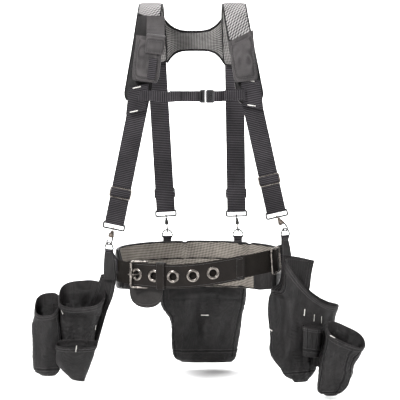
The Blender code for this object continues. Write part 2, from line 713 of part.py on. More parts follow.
def build_hook(place):
    base = hook_axes(place)
    twisted = base @ Matrix.Rotation(hook_twist(place), 4, "Z")
    body_length = HOOK_BODY_TOP - HOOK_BODY_BOTTOM
    middle = (HOOK_BODY_TOP + HOOK_BODY_BOTTOM) / 2
    body = cylinder(f"snap_hook_{place}", 0.0056, body_length,
                    twisted @ Matrix.Translation((0, 0, middle)), "bronze", 0.0027, 12)

    eye_mesh = [(HOOK_EYE + HOOK_EYE_WIRE * cos(pi * step / 3), HOOK_EYE_WIRE * sin(pi * step / 3))
                for step in range(6)]
    eye = turned_ring(f"hook_eye_{place}", eye_mesh, base @ Matrix.Rotation(pi / 2, 4, "Y"), "bronze", 12)
    boolean(body, eye, "UNION")

    low = -HOOK_LENGTH + HOOK_WIRE
    arc_middle = low + BOW_HALF_WIDTH
    points = [(0.0035, 0, HOOK_BODY_BOTTOM + 0.004), (BOW_HALF_WIDTH, 0, arc_middle + 0.004)]
    for step in range(9):
        angle = -pi * step / 8
        points.append((BOW_HALF_WIDTH * cos(angle), 0, arc_middle + BOW_HALF_WIDTH * sin(angle)))
    points.append((-BOW_HALF_WIDTH + 0.0006, 0, arc_middle + 0.0030))
    bow = wire(f"hook_bow_{place}", points, HOOK_WIRE, "bronze", cyclic=False)
    bow.matrix_world = twisted
    boolean(body, as_mesh(bow), "UNION")

    pivot = Vector((-0.0040, 0, HOOK_BODY_BOTTOM - GATE_WIRE - 0.0004))
    tip = Vector((-BOW_HALF_WIDTH + 0.0036, 0, arc_middle + 0.0006))
    gate = wire(f"snap_gate_{place}", [(0, 0, 0), tuple(tip - pivot)], GATE_WIRE, "steel", cyclic=False)
    gate.matrix_world = twisted @ Matrix.Translation(pivot)


# ---------------------------------------------------------------- yoke

def build_shoulder_pad(name):
    line, front_width, back_width = SHOULDERS[name]
    path = smooth_path(line, 4)
    stations = []
    for index, point in enumerate(path):
        along = path[min(index + 1, len(path) - 1)] - path[max(index - 1, 0)]
        across = Vector((1, 0, 0))
        across = (across - along * across.dot(along) / along.length_squared).normalized()
        share = index / (len(path) - 1)
        width = back_width + (front_width - back_width) * max(1 - 3 * share, 0)
        if index == 0:
            width -= 0.014
        stations.append((point - across * width / 2, point + across * width / 2))
    pad = band(name, stations, YOKE_THICKNESS, "air_mesh")
    modifier = pad.modifiers.new("rounded edges", "BEVEL")
    modifier.width = 0.003
    modifier.segments = 1
    modifier.limit_method = "ANGLE"
    modifier.angle_limit = radians(60)


def build_yoke_bridge():
    """The padded panel between the shoulder pads, curved down at the neck."""
    (left_low, left_high), (right_low, right_high) = BRIDGE_ENDS
    count = 12
    stations = []
    for step in range(count + 1):
        share = step / count
        from_middle = abs(2 * share - 1)
        top = BRIDGE_TOP + 0.033 * from_middle ** 2.5
        bottom = BRIDGE_BOTTOM - 0.034 * from_middle ** 4
        low = Vector((left_low + (right_low - left_low) * share, yoke_depth(bottom), bottom))
        high = Vector((left_high + (right_high - left_high) * share, yoke_depth(top), top))
        stations.append((low, high))
    band("yoke_bridge", stations, YOKE_THICKNESS, "air_mesh")


def yoke_depth(height):
    """How far back the yoke lies at a height, on the curve of the wearer's shoulders."""
    return 0.090 - 0.45 * max(height - 0.580, 0) ** 1.2


def build_shoulder_pouches():
    phone = Matrix.Translation(PHONE_CENTRE) @ Matrix.Rotation(PHONE_LEAN, 4, "Y")
    shell("phone_pouch", phone, PHONE_SIZE, 0.0016)
    width, depth, height = PHONE_SIZE
    hinge = phone @ Matrix.Translation((0.015, depth / 2 + 0.001, height / 2 + 0.0060))
    reach = depth + 0.0060
    middles = [(0, 0), (-reach * 0.35, 0.0006), (-reach + 0.004, -0.001), (-reach - 0.0008, -0.006),
               (-reach - 0.0012, -FLAP_DROP)]
    stations = [tuple(Vector((x, y, z)) for x in (-FLAP_WIDTH / 2, FLAP_WIDTH / 2)) for y, z in middles]
    flap = band("phone_flap", stations, FLAP_THICKNESS, "nylon")
    flap.matrix_world = hinge

    pocket = Matrix.Translation(POCKET_CENTRE) @ Matrix.Rotation(-PHONE_LEAN, 4, "Y")
    shell("shoulder_pocket", pocket, POCKET_SIZE, 0.0016)


def shell(name, matrix, size, wall):
    """An upright pocket with an open top: a box without its lid, thickened inward."""
    bm = bmesh.new()
    bmesh.ops.create_cube(bm, size=1, matrix=Matrix.Diagonal((*size, 1)))
    lid = max(bm.faces, key=lambda face: face.calc_center_median().z)
    upright = [edge for edge in bm.edges if abs(edge.verts[0].co.z - edge.verts[1].co.z) > size[2] / 2]
    bmesh.ops.delete(bm, geom=[lid], context="FACES_ONLY")
    bmesh.ops.bevel(bm, geom=upright, offset=min(size[:2]) * 0.35, segments=3, profile=0.5,
                    affect="EDGES")
    obj = add_object(name, mesh_from(bm, name), "nylon")
    obj.matrix_world = matrix
    solidify(obj, wall, -1)


# ---------------------------------------------------------------- sternum strap

def build_sternum():
    half = STERNUM_WIDTH / 2
    behind = 0.0050

    def strap(name, line):
        stations = [(Vector((x, y, z - half)), Vector((x, y, z + half))) for x, y, z in smooth_path(line, 3)]
        band(name, stations, STERNUM_THICKNESS, "webbing")

    height = STERNUM_HEIGHT
    strap("sternum_strap_left", ((-0.152, -0.1010, height), (-0.118, -0.1030, height + 0.001),
                                 (-0.080, -0.1130, height - 0.002), (-0.045, CLIP_Y + behind, height),
                                 (0.004, CLIP_Y + behind, height)))
    strap("sternum_strap_right", ((0.1180, -0.1010, height + 0.006), (0.090, -0.1030, height + 0.004),
                                  (0.066, -0.1100, height + 0.001), (0.0404, CLIP_Y, height)))

    middle = Vector((CLIP_X, CLIP_Y, height))
    wide, thick = 2 * CLIP_HALF_HEIGHT, 2 * CLIP_HALF_THICKNESS
    socket = box("sternum_socket", (SOCKET_LENGTH, thick, wide),
                 Matrix.Translation(middle + Vector((SOCKET_LENGTH / 2, 0, 0))), "plastic", 0.0015)
    cavity = box("socket_cavity", (2 * TONGUE_LENGTH + 0.002, thick - 0.0036, wide - 0.006),
                 Matrix.Translation(middle), "plastic")
    boolean(socket, cavity, "DIFFERENCE")
    gap = 0.0008
    clip = box("sternum_clip", (CLIP_LENGTH, thick - 0.0030, wide),
               Matrix.Translation(middle - Vector((CLIP_LENGTH / 2 + gap, 0, 0))), "plastic", 0.0012)
    tongue = box("clip_tongue", (TONGUE_LENGTH + 0.004, thick - 0.0050, wide - 0.008),
                 Matrix.Translation(middle + Vector(((TONGUE_LENGTH - 0.006) / 2, 0, 0))), "plastic")
    boolean(clip, tongue, "UNION")
    window = box("clip_window", (0.0040, 0.03, wide - 0.009),
                 Matrix.Translation(middle - Vector((CLIP_LENGTH - 0.0045, 0, 0))), "plastic")
    boolean(clip, window, "DIFFERENCE")


# ---------------------------------------------------------------- pouches

def signed_power(value, power):
    return abs(value) ** power * (1 if value >= 0 else -1)


def pouch_rings(name):
    """Points of each ring: a rounded rectangle, tilted along its width and its depth."""
    turn = TURNS.get(name, 0)
    dip = MOUTH_DIPS.get(name, 0)
    made = []
    for x, y, z, half_width, half_depth, slope, pitch in POUCHES[name]:
        points = []
        for step in range(RING_SIDES):
            angle = 2 * pi * step / RING_SIDES
            share = signed_power(cos(angle), SQUARENESS)
            across = half_width * share
            back = half_depth * signed_power(sin(angle), SQUARENESS)
            points.append(Vector((x + across, y + back + turn * across,
                                  z + slope * across + pitch * back - dip * (1 - share * share))))
        made.append(points)
        dip = 0
    return made


def build_pouch(name, pivot):
    """An open-topped pouch, whose object's origin is the seam that it swings on."""
    pivot = Vector(pivot)
    bm = bmesh.new()
    rows = [[bm.verts.new(point - pivot) for point in ring] for ring in pouch_rings(name)]
    for row, lower in zip(rows, rows[1:]):
        for index in range(RING_SIDES):
            following = (index + 1) % RING_SIDES
            bm.faces.new((row[index], lower[index], lower[following], row[following]))
    bm.faces.new(list(reversed(rows[-1])))
    obj = add_object(name, mesh_from(bm, name), "nylon")
    obj.location = pivot
    solidify(obj, WALL, -1)
    return obj


def hanger(name, pouch, stations):
    """A panel that joins the pouch to its seam."""
    panel = band(name, stations, HANGER_THICKNESS, "nylon")
    boolean(pouch, panel, "UNION")


def build_pouches():
    left = build_pouch("left_main_pouch", LEFT_SEAM)
    hanger("left_hanger", left, (
        ((-0.253, -0.0490, -0.012), (-0.2135, -0.0490, -0.012)),
        ((-0.256, -0.0490, -0.060), (-0.228, -0.0490, -0.060)),
        ((-0.277, -0.0460, -0.165), (-0.257, -0.0460, -0.165)),
    ))
    build_pouch("left_lower_pocket", LEFT_SEAM)
    build_pouch("left_tube_pocket", LEFT_SEAM)

    right = build_pouch("right_main_pouch", RIGHT_SEAM)
    hanger("right_hanger", right, (
        ((0.2380, -0.0600, 0.048), (0.3000, -0.0440, 0.030)),
        ((0.2360, -0.0620, 0.002), (0.2930, -0.0470, -0.002)),
        ((0.2100, -0.0600, -0.004), (0.2910, -0.0490, -0.014)),
        ((0.2100, -0.0640, -0.026), (0.2890, -0.0510, -0.036)),
        ((0.2380, -0.0715, -0.110), (0.2860, -0.0530, -0.110)),
    ))
    build_pouch("right_tool_slots", RIGHT_SEAM)
    build_pouch("right_small_pouch", RIGHT_SEAM)

    centre = build_pouch("centre_pouch", CENTRE_SEAM)
    wall = POUCHES["centre_pouch"][0][1] - POUCHES["centre_pouch"][0][4] + WALL / 2
    columns = 8
    stations = []
    for step in range(columns + 1):
        x = -0.080 + 0.196 * step / columns
        pad = Vector((x, -oval(angle_at_x(x), PAD_INSET - PAD_THICKNESS / 2 - HANGER_THICKNESS).y, -0.036))
        stations.append((pad, (x, wall, -0.056), (x, wall, -0.110)))
    hanger("centre_hanger", centre, stations)


clear_scene()
belt = make_collection("framing_tool_belt")
cutters = make_collection("cutters")
cutters.hide_render = True
materials = {name: make_material(name) for name in MATERIALS}

build_back_pad()
build_belt_layers()
build_buckle_webbing()
build_buckle()
build_keeper()
build_guard()
build_belt_slide()
for corner in RINGS:
    build_ring(corner)
    build_strap(corner)
    build_hook(corner)
for pad_name in SHOULDERS:
    build_shoulder_pad(pad_name)
build_yoke_bridge()
build_shoulder_pouches()
build_sternum()
build_pouches()
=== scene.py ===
"""Looks of the framing tool belt: cloth, webbing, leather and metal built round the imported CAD."""

from math import atan, cos, pi, radians, sin, tau

import bpy
import numpy as np
from mathutils import Matrix, Vector, noise


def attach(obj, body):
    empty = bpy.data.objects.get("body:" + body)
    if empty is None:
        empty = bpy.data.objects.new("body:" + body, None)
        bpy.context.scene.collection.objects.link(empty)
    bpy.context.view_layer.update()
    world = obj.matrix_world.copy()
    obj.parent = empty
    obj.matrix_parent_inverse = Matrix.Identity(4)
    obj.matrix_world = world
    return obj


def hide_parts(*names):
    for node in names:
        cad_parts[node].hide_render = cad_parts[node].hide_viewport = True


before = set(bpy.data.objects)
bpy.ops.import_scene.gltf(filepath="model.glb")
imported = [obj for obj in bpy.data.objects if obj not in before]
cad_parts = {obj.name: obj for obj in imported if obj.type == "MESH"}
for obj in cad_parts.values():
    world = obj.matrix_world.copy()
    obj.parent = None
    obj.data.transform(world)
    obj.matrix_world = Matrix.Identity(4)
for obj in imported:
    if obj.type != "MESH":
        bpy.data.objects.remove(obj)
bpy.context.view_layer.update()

UP = Vector((0, 0, 1))
UP_ARRAY = np.array((0.0, 0.0, 1.0))
PLACES = ("front_left", "front_right", "back_left", "back_right")

# Waist oval and belt layers, as in the CAD
WAIST_HALF_WIDTH, WAIST_HALF_DEPTH = 0.222, 0.160
FRONT_HEIGHT, FRONT_RISE = 0.005, 0.030
RISE_START, RISE_END = -0.080, 0.220
STRIP_HEIGHT, STRIP_THICKNESS = 0.060, 0.0040
WEBBING_WIDTH, WEBBING_THICKNESS, WEBBING_INSET = 0.056, 0.0025, 0.0036
FOLD_THICKNESS, FOLD_INSET = 0.0020, 0.0056
PAD_TOP, PAD_BOTTOM, PAD_THICKNESS, PAD_INSET = 0.0545, -0.068, 0.015, 0.0128
PAD_CORNER, PAD_END_X = 0.030, 0.2065
TOP_CORNER_RUN, BOTTOM_CORNER_RUN = radians(12), radians(60)
PAD_SEAM = 0.010  # height of the quilted seam

# Buckle, measured along the strip from the first grommet
GROMMET_START, GROMMET_PITCH, GROMMET_COUNT = -0.154, 0.050, 5
GROMMET_BORE, GROMMET_BARREL, GROMMET_FLANGE = 0.0095, 0.0110, 0.0160
GROMMET_GRIP, GROMMET_CROWN = 0.0026, 0.0018
NOSE_ALONG, NOSE_PROUD, HEEL_ALONG, HEEL_DEEP = -0.014, 0.0082, 0.027, 0.0106
BUCKLE_HALF_HEIGHT, BUCKLE_WIRE, ROLLER_RADIUS = 0.033, 0.0019, 0.0034
PRONG_WIRE, PRONG_EYE = 0.0018, 0.0042
KEEPER_ALONG, KEEPER_WIDTH = 0.068, 0.023
KEEPER_FRONT, KEEPER_BACK, KEEPER_HEIGHT = -0.0060, 0.0084, 0.0660
GUARD_ALONG, GUARD_HALF_WIDTH, GUARD_INSET = 0.010, 0.056, 0.0172
GUARD_TOP, GUARD_SIDE, GUARD_ROUND, GUARD_POWER = 0.022, -0.030, 0.052, 0.55
SLIDE_X = 0.197

# Straps and their hardware
STRAP_WIDTH, STRAP_THICKNESS, RIB_PITCH = 0.049, 0.0020, 0.0047
LOOP_WIDTH, LOOP_HEIGHT, LOOP_WIRE, LOOP_BEND = 0.0546, 0.0150, 0.0017, 0.0026
SLIDER_HEIGHT, SLIDER_WIRE = 0.0290, 0.0034
HOOK_LENGTH, HOOK_WIRE, HOOK_EYE, HOOK_EYE_WIRE = 0.045, 0.0021, 0.0045, 0.0013
HOOK_BODY_TOP, HOOK_BODY_BOTTOM, BOW_HALF_WIDTH = -0.0052, -0.0230, 0.0078
GATE_WIRE, RING_WIDTH, RING_HEIGHT, RING_WIRE = 0.0013, 0.0275, 0.0200, 0.0016
RING_REACH, TAB_WIDTH, TAB_CLEARANCE = 0.0372, 0.0215, 0.0009
GAP = 0.0003
STRAPS = {
    "front_left": ((-0.1456, -0.0765, 0.455), (-0.2150, -0.046, 0.1265), 0.757),
    "front_right": ((0.1322, -0.0765, 0.455), (0.2005, -0.046, 0.1570), 0.720),
    "back_left": ((-0.1102, 0.1010, 0.550), (-0.0880, 0.156, 0.1365), 0.886),
    "back_right": ((0.0956, 0.1010, 0.545), (0.1040, 0.156, 0.1365), 0.886),
}
RINGS = {
    "front_left": ((-0.2290, -0.0510), (-0.60, -0.80, 0), 0.003, radians(197)),
    "front_right": ((0.2235, -0.0590), (0.60, -0.80, 0), 0.018, radians(350)),
    "back_left": ((-0.084, 0.1540), (0, -1, 0), 0.000, radians(112)),
    "back_right": ((0.108, 0.1470), (0, -1, 0), 0.000, radians(61)),
}

# Yoke: centre lines of the shoulder pads, front end first, and their widths at each end
YOKE_THICKNESS = 0.011
CREST_HEIGHTS = {"left_shoulder_pad": 0.650, "right_shoulder_pad": 0.592}  # the bright mesh starts here
SHOULDERS = {
    "left_shoulder_pad": (
        ((-0.155, -0.088, 0.440), (-0.137, -0.082, 0.560), (-0.124, -0.050, 0.655),
         (-0.120, 0.000, 0.685), (-0.118, 0.050, 0.655), (-0.114, 0.080, 0.600), (-0.110, 0.090, 0.536)),
        0.070, 0.0625,
    ),
    "right_shoulder_pad": (
        ((0.134, -0.088, 0.440), (0.113, -0.082, 0.560), (0.096, -0.050, 0.655),
         (0.092, 0.000, 0.685), (0.091, 0.050, 0.655), (0.093, 0.080, 0.600), (0.096, 0.090, 0.530)),
        0.070, 0.0625,
    ),
}
BRIDGE_ENDS = ((-0.0830, -0.0900), (0.0690, 0.0640))
BRIDGE_TOP, BRIDGE_BOTTOM = 0.617, 0.571
PHONE_CENTRE, PHONE_SIZE, PHONE_LEAN = (-0.126, -0.1085, 0.547), (0.068, 0.022, 0.110), radians(7)
FLAP_WIDTH, FLAP_DROP, FLAP_THICKNESS = 0.046, 0.046, 0.0030
POCKET_CENTRE, POCKET_SIZE = (0.1140, -0.1030, 0.549), (0.062, 0.011, 0.112)
STERNUM_HEIGHT, STERNUM_WIDTH = 0.4545, 0.025
CLIP_X, CLIP_Y = 0.020, -0.117
CLIP_HALF_HEIGHT, CLIP_HALF_THICKNESS = 0.0165, 0.0045

# Pouches, as rings from the mouth down: x, y, z, half width, half depth, slope and pitch
WALL = 0.0028
SQUARENESS = 0.72
POUCHES = {
    "left_main_pouch": (
        (-0.300, -0.052, -0.057, 0.060, 0.046, 0.05, 0.61),
        (-0.3035, -0.046, -0.110, 0.0515, 0.038, 0.03, 0.25),
        (-0.3085, -0.042, -0.155, 0.0460, 0.031, 0.0, 0.05),
        (-0.3135, -0.040, -0.205, 0.0410, 0.028, 0.0, 0.0),
        (-0.320, -0.038, -0.245, 0.033, 0.024, 0.0, 0.0),
        (-0.316, -0.038, -0.266, 0.020, 0.014, 0.0, 0.0),
    ),
    "left_lower_pocket": (
        (-0.310, -0.094, -0.178, 0.053, 0.020, 0.0, 0.35),
        (-0.318, -0.090, -0.222, 0.046, 0.020, 0.0, 0.1),
        (-0.318, -0.086, -0.252, 0.034, 0.016, -0.20, 0.0),
        (-0.309, -0.084, -0.275, 0.017, 0.009, -0.15, 0.0),
    ),
    "left_tube_pocket": (
        (-0.390, -0.050, -0.084, 0.031, 0.032, 0.10, 0.75),
        (-0.3925, -0.048, -0.150, 0.0355, 0.029, 0.05, 0.2),
        (-0.3915, -0.044, -0.215, 0.0355, 0.026, 0.0, 0.0),
        (-0.3895, -0.044, -0.256, 0.031, 0.022, 0.0, 0.0),
        (-0.3895, -0.044, -0.271, 0.020, 0.014, 0.0, 0.0),
    ),
    "right_main_pouch": (
        (0.292, -0.086, -0.021, 0.070, 0.032, -0.90, 0.02),
        (0.282, -0.088, -0.078, 0.070, 0.032, -0.62, 0.12),
        (0.264, -0.092, -0.098, 0.081, 0.031, -0.62, 0.08),
        (0.257, -0.092, -0.165, 0.075, 0.030, -0.10, 0.0),
        (0.254, -0.092, -0.198, 0.072, 0.028, 0.0, 0.0),
        (0.258, -0.092, -0.242, 0.052, 0.024, 0.0, 0.0),
        (0.262, -0.092, -0.264, 0.034, 0.016, 0.0, 0.0),
        (0.264, -0.092, -0.277, 0.018, 0.009, 0.0, 0.0),
    ),
    "right_tool_slots": (
        (0.291, -0.127, -0.128, 0.026, 0.009, -0.18, 0.2),
        (0.290, -0.128, -0.170, 0.025, 0.009, -0.18, 0.0),
        (0.285, -0.129, -0.203, 0.021, 0.007, -0.18, 0.0),
    ),
    "right_small_pouch": (
        (0.374, -0.136, -0.146, 0.0485, 0.034, -0.45, 0.48),
        (0.355, -0.136, -0.213, 0.0435, 0.031, -0.16, 0.15),
        (0.349, -0.132, -0.252, 0.0420, 0.027, -0.06, 0.0),
        (0.338, -0.132, -0.288, 0.0320, 0.020, 0.0, 0.0),
        (0.338, -0.132, -0.302, 0.0160, 0.011, 0.0, 0.0),
    ),
    "centre_pouch": (
        (0.0178, 0.204, -0.062, 0.118, 0.034, 0.0, -0.10),
        (0.0145, 0.204, -0.125, 0.115, 0.034, 0.0, 0.0),
        (0.0190, 0.202, -0.162, 0.101, 0.031, 0.0, 0.0),
        (0.0222, 0.200, -0.205, 0.092, 0.028, 0.0, 0.0),
        (0.0233, 0.198, -0.272, 0.084, 0.021, 0.0, 0.0),
        (0.0233, 0.198, -0.290, 0.070, 0.012, 0.0, 0.0),
    ),
}
MOUTH_DIPS = {"right_main_pouch": 0.030}
TURNS = {"right_main_pouch": 0.36, "right_tool_slots": 0.30, "right_small_pouch": 0.10}
LEFT_SEAM, RIGHT_SEAM, CENTRE_SEAM = (-0.238, -0.049, -0.012), (0.232, -0.058, 0.046), (0.018, 0.158, -0.034)


# ---------------------------------------------------------------- materials

def shader_nodes(name, roughness, metallic=0.0, sheen=0.0, specular=0.5):
    material = bpy.data.materials.new(name)
    material.use_nodes = True
    nodes = material.node_tree.nodes
    shader = nodes["Principled BSDF"]
    shader.inputs["Roughness"].default_value = roughness
    shader.inputs["Metallic"].default_value = metallic
    shader.inputs["Sheen Weight"].default_value = sheen
    shader.inputs["Sheen Roughness"].default_value = 0.45
    shader.inputs["Specular IOR Level"].default_value = specular
    return material, nodes, material.node_tree.links, shader


def maths(nodes, links, operation, first, second=None, clamp=False):
    node = nodes.new("ShaderNodeMath")
    node.operation = operation
    node.use_clamp = clamp
    for socket, value in zip(node.inputs, (first, second)):
        if isinstance(value, (int, float)):
            socket.default_value = value
        elif value is not None:
            links.new(value, socket)
    return node.outputs[0]


def noise_value(nodes, links, vector, scale, detail=2.0, roughness=0.5):
    node = nodes.new("ShaderNodeTexNoise")
    node.inputs["Scale"].default_value = scale
    node.inputs["Detail"].default_value = detail
    node.inputs["Roughness"].default_value = roughness
    links.new(vector, node.inputs["Vector"])
    return node.outputs["Fac"]


def colour_ramp(nodes, links, value, stops):
    node = nodes.new("ShaderNodeValToRGB")
    ramp = node.color_ramp
    while len(ramp.elements) < len(stops):
        ramp.elements.new(0.5)
    for element, (position, colour) in zip(ramp.elements, stops):
        element.position = position
        element.color = (*colour, 1)
    links.new(value, node.inputs["Fac"])
    return node.outputs["Color"]


def bump(nodes, links, shader, height, strength, distance):
    node = nodes.new("ShaderNodeBump")
    node.inputs["Strength"].default_value = strength
    node.inputs["Distance"].default_value = distance
    links.new(height, node.inputs["Height"])
    links.new(node.outputs["Normal"], shader.inputs["Normal"])
    return node


def waves(nodes, links, vector, pitches):
    """A sine for each axis that has a pitch."""
    split = nodes.new("ShaderNodeSeparateXYZ")
    links.new(vector, split.inputs[0])
    made = []
    for output, pitch in zip(split.outputs, pitches):
        if pitch:
            made.append(maths(nodes, links, "SINE", maths(nodes, links, "MULTIPLY", output, tau / pitch)))
    return made


def fabric(name, dark, light, pitch, roughness=0.7, sheen=0.0, depth=0.0004, coordinates="UV",
           blotch=14.0, contrast=0.35, specular=0.3, rib=0.0, wrinkle=0.0):
    """Woven cloth: crossing threads at a pitch, cloudy lighter patches and soft wrinkles; the patches are random
    tone, and on wrinkled cloth also painted sheen.
    """
    material, nodes, links, shader = shader_nodes(name, roughness, 0.0, sheen, specular)
    place = nodes.new("ShaderNodeTexCoord").outputs[coordinates]
    threads = waves(nodes, links, place, (pitch, pitch, 0 if coordinates == "UV" else pitch))
    weave = threads[0]
    for thread in threads[1:]:
        weave = maths(nodes, links, "MULTIPLY" if coordinates == "UV" else "ADD", weave, thread)
    weave = maths(nodes, links, "MULTIPLY_ADD", weave, 0.5)
    weave.node.inputs[2].default_value = 0.5
    cloud_place = nodes.new("ShaderNodeTexCoord").outputs["Object"]
    cloud = noise_value(nodes, links, cloud_place, blotch, 5.0, 0.62)
    fuzz = noise_value(nodes, links, cloud_place, 900.0, 2.0, 0.6)
    tone = maths(nodes, links, "MULTIPLY", weave, contrast)
    tone = maths(nodes, links, "ADD", tone, maths(nodes, links, "MULTIPLY", cloud, 1.0 - contrast))
    tone = maths(nodes, links, "ADD", tone, maths(nodes, links, "MULTIPLY", fuzz, 0.18))
    # Ribbed webbing gets painted light on its rib tops and painted shade in its furrows.
    if rib:
        ridge = rib_light_and_shade(nodes, links, place, rib)
        tone = maths(nodes, links, "MULTIPLY", tone, ridge)
    # Wrinkled cloth gets a wider ramp, so its cloudy patches reach lighter as painted sheen streaks as well as random
    # tone.
    span = (0.40, 0.80) if wrinkle else (0.18, 0.74)
    links.new(colour_ramp(nodes, links, tone, ((span[0], dark), (span[1], light))), shader.inputs["Base Color"])
    height = maths(nodes, links, "ADD", weave, maths(nodes, links, "MULTIPLY", fuzz, 0.5))
    weave_bump = bump(nodes, links, shader, height, 0.55, depth)
    if wrinkle:
        stretch = nodes.new("ShaderNodeMapping")
        stretch.inputs["Rotation"].default_value = (0.2, 0.45, 0.1)
        stretch.inputs["Scale"].default_value = (1.0, 1.0, 0.30)
        links.new(cloud_place, stretch.inputs["Vector"])
        slack = noise_value(nodes, links, stretch.outputs["Vector"], 30.0, 1.5, 0.45)
        wrinkle_bump = bump(nodes, links, shader, slack, 0.8, wrinkle)
        links.new(wrinkle_bump.outputs["Normal"], weave_bump.inputs["Normal"])
        links.new(weave_bump.outputs["Normal"], shader.inputs["Normal"])
    return material


def rib_light_and_shade(nodes, links, place, pitch):
    """Painted light along the top of each cross rib and painted shade in the furrows, from the way along the webbing.
    """
    split = nodes.new("ShaderNodeSeparateXYZ")
    links.new(place, split.inputs[0])
    turn = maths(nodes, links, "COSINE", maths(nodes, links, "MULTIPLY", split.outputs[0], tau / pitch))
    ridge = maths(nodes, links, "MULTIPLY_ADD", turn, -0.45)
    ridge.node.inputs[2].default_value = 0.62
    return ridge


def air_mesh(name, dark, light, pitch, coordinates="UV", roughness=0.75, stripes=False):
    """Spacer mesh: staggered dark holes between light knitted threads, or slanted stripes of them."""
    material, nodes, links, shader = shader_nodes(name, roughness, 0.0, 0.0, 0.15)
    place = nodes.new("ShaderNodeTexCoord").outputs[coordinates]
    turn = nodes.new("ShaderNodeMapping")
    turn.inputs["Rotation"].default_value = (0, 0, radians(45))
    links.new(place, turn.inputs["Vector"])
    threads = waves(nodes, links, turn.outputs["Vector"], (pitch, pitch * (3.0 if stripes else 0.8), 0))
    holes = maths(nodes, links, "MULTIPLY", threads[0], threads[1])
    holes = maths(nodes, links, "MULTIPLY_ADD", holes, 0.5)
    holes.node.inputs[2].default_value = 0.5
    cloud_place = nodes.new("ShaderNodeTexCoord").outputs["Object"]
    cloud = noise_value(nodes, links, cloud_place, 22.0, 4.0, 0.6)
    tone = maths(nodes, links, "ADD", maths(nodes, links, "MULTIPLY", holes, 0.66),
                 maths(nodes, links, "MULTIPLY", cloud, 0.38))
    links.new(colour_ramp(nodes, links, tone, ((0.30, dark), (0.78, light))), shader.inputs["Base Color"])
    bump(nodes, links, shader, holes, 0.8, 0.0007)
    return material


def leather(name, dark, light, roughness=0.5):
    """Smooth hide: fine pebbles, faint creases and rubbed variation."""
    material, nodes, links, shader = shader_nodes(name, roughness, 0.0, 0.0, 0.14)
    place = nodes.new("ShaderNodeTexCoord").outputs["Object"]
    grain = nodes.new("ShaderNodeTexVoronoi")
    grain.inputs["Scale"].default_value = 950.0
    links.new(place, grain.inputs["Vector"])
    cloud = noise_value(nodes, links, place, 26.0, 6.0, 0.65)
    fine = noise_value(nodes, links, place, 260.0, 3.0, 0.5)
    tone = maths(nodes, links, "ADD", maths(nodes, links, "MULTIPLY", cloud, 0.7),
                maths(nodes, links, "MULTIPLY", fine, 0.3))
    links.new(colour_ramp(nodes, links, tone, ((0.30, dark), (0.72, light))), shader.inputs["Base Color"])
    height = maths(nodes, links, "ADD", grain.outputs["Distance"], maths(nodes, links, "MULTIPLY", fine, 0.6))
    bump(nodes, links, shader, height, 0.35, 0.0003)
    wear = maths(nodes, links, "MULTIPLY_ADD", cloud, 0.30)
    wear.node.inputs[2].default_value = roughness - 0.15
    links.new(wear, shader.inputs["Roughness"])
    return material


def metal(name, dark, light, roughness=0.28, metallic=1.0):
    """Plated metal: bright with cloudy tarnish, pits and fine rubbing marks."""
    material, nodes, links, shader = shader_nodes(name, roughness, metallic, specular=0.4)
    place = nodes.new("ShaderNodeTexCoord").outputs["Object"]
    cloud = noise_value(nodes, links, place, 90.0, 5.0, 0.65)
    fine = noise_value(nodes, links, place, 700.0, 3.0, 0.6)
    links.new(colour_ramp(nodes, links, cloud, ((0.30, dark), (0.66, light))), shader.inputs["Base Color"])
    rough = maths(nodes, links, "MULTIPLY_ADD", fine, 0.35)
    rough.node.inputs[2].default_value = roughness - 0.12
    links.new(rough, shader.inputs["Roughness"])
    bump(nodes, links, shader, fine, 0.12, 0.0002)
    return material


def plastic(name, dark, light):
    material, nodes, links, shader = shader_nodes(name, 0.42, 0.0, 0.0, 0.5)
    place = nodes.new("ShaderNodeTexCoord").outputs["Object"]
    fine = noise_value(nodes, links, place, 800.0, 3.0, 0.6)
    cloud = noise_value(nodes, links, place, 60.0, 4.0, 0.6)
    links.new(colour_ramp(nodes, links, cloud, ((0.3, dark), (0.7, light))), shader.inputs["Base Color"])
    bump(nodes, links, shader, fine, 0.25, 0.0002)
    return material


NYLON = fabric("black_nylon", (0.0010, 0.0009, 0.0010), (0.0170, 0.0153, 0.0156), 0.0011,
               coordinates="Object", roughness=0.40, contrast=0.15, specular=0.24, wrinkle=0.017)
HEM = fabric("hem_nylon", (0.0026, 0.0024, 0.0025), (0.0270, 0.0245, 0.0248), 0.0011,
             coordinates="Object", roughness=0.48, contrast=0.15, specular=0.18, wrinkle=0.012)
POCKET = fabric("pocket_nylon", (0.014, 0.0128, 0.0131), (0.066, 0.0600, 0.0610), 0.0012,
                coordinates="Object", roughness=0.52, contrast=0.25, specular=0.22, wrinkle=0.014)
TAPE = fabric("binding_tape", (0.002, 0.002, 0.0022), (0.008, 0.0075, 0.0078), 0.0016, roughness=0.7,
              contrast=0.3, specular=0.16)
WEBBING = fabric("strap_webbing", (0.0030, 0.0028, 0.0033), (0.056, 0.051, 0.057), 0.0016,
                 roughness=0.60, contrast=0.25, specular=0.12, depth=0.0006, rib=RIB_PITCH)
BELT_WEBBING = fabric("belt_webbing_cloth", (0.003, 0.0025, 0.0021), (0.018, 0.0148, 0.0124), 0.0018,
                      roughness=0.65, contrast=0.35, specular=0.10, depth=0.0005, rib=0.0024)
STRIP = leather("strip_leather", (0.0035, 0.0027, 0.0023), (0.0120, 0.0092, 0.0078), 0.55)
GUARD = leather("guard_leather", (0.013, 0.0121, 0.0118), (0.032, 0.0296, 0.0286), 0.62)
LINING = air_mesh("lining_mesh", (0.010, 0.009, 0.008), (0.300, 0.270, 0.236), 0.0066)
CREST = air_mesh("crest_mesh", (0.014, 0.0135, 0.014), (0.345, 0.332, 0.330), 0.0066, stripes=True)
YOKE_MESH = air_mesh("yoke_mesh", (0.006, 0.006, 0.006), (0.255, 0.245, 0.238), 0.0066)
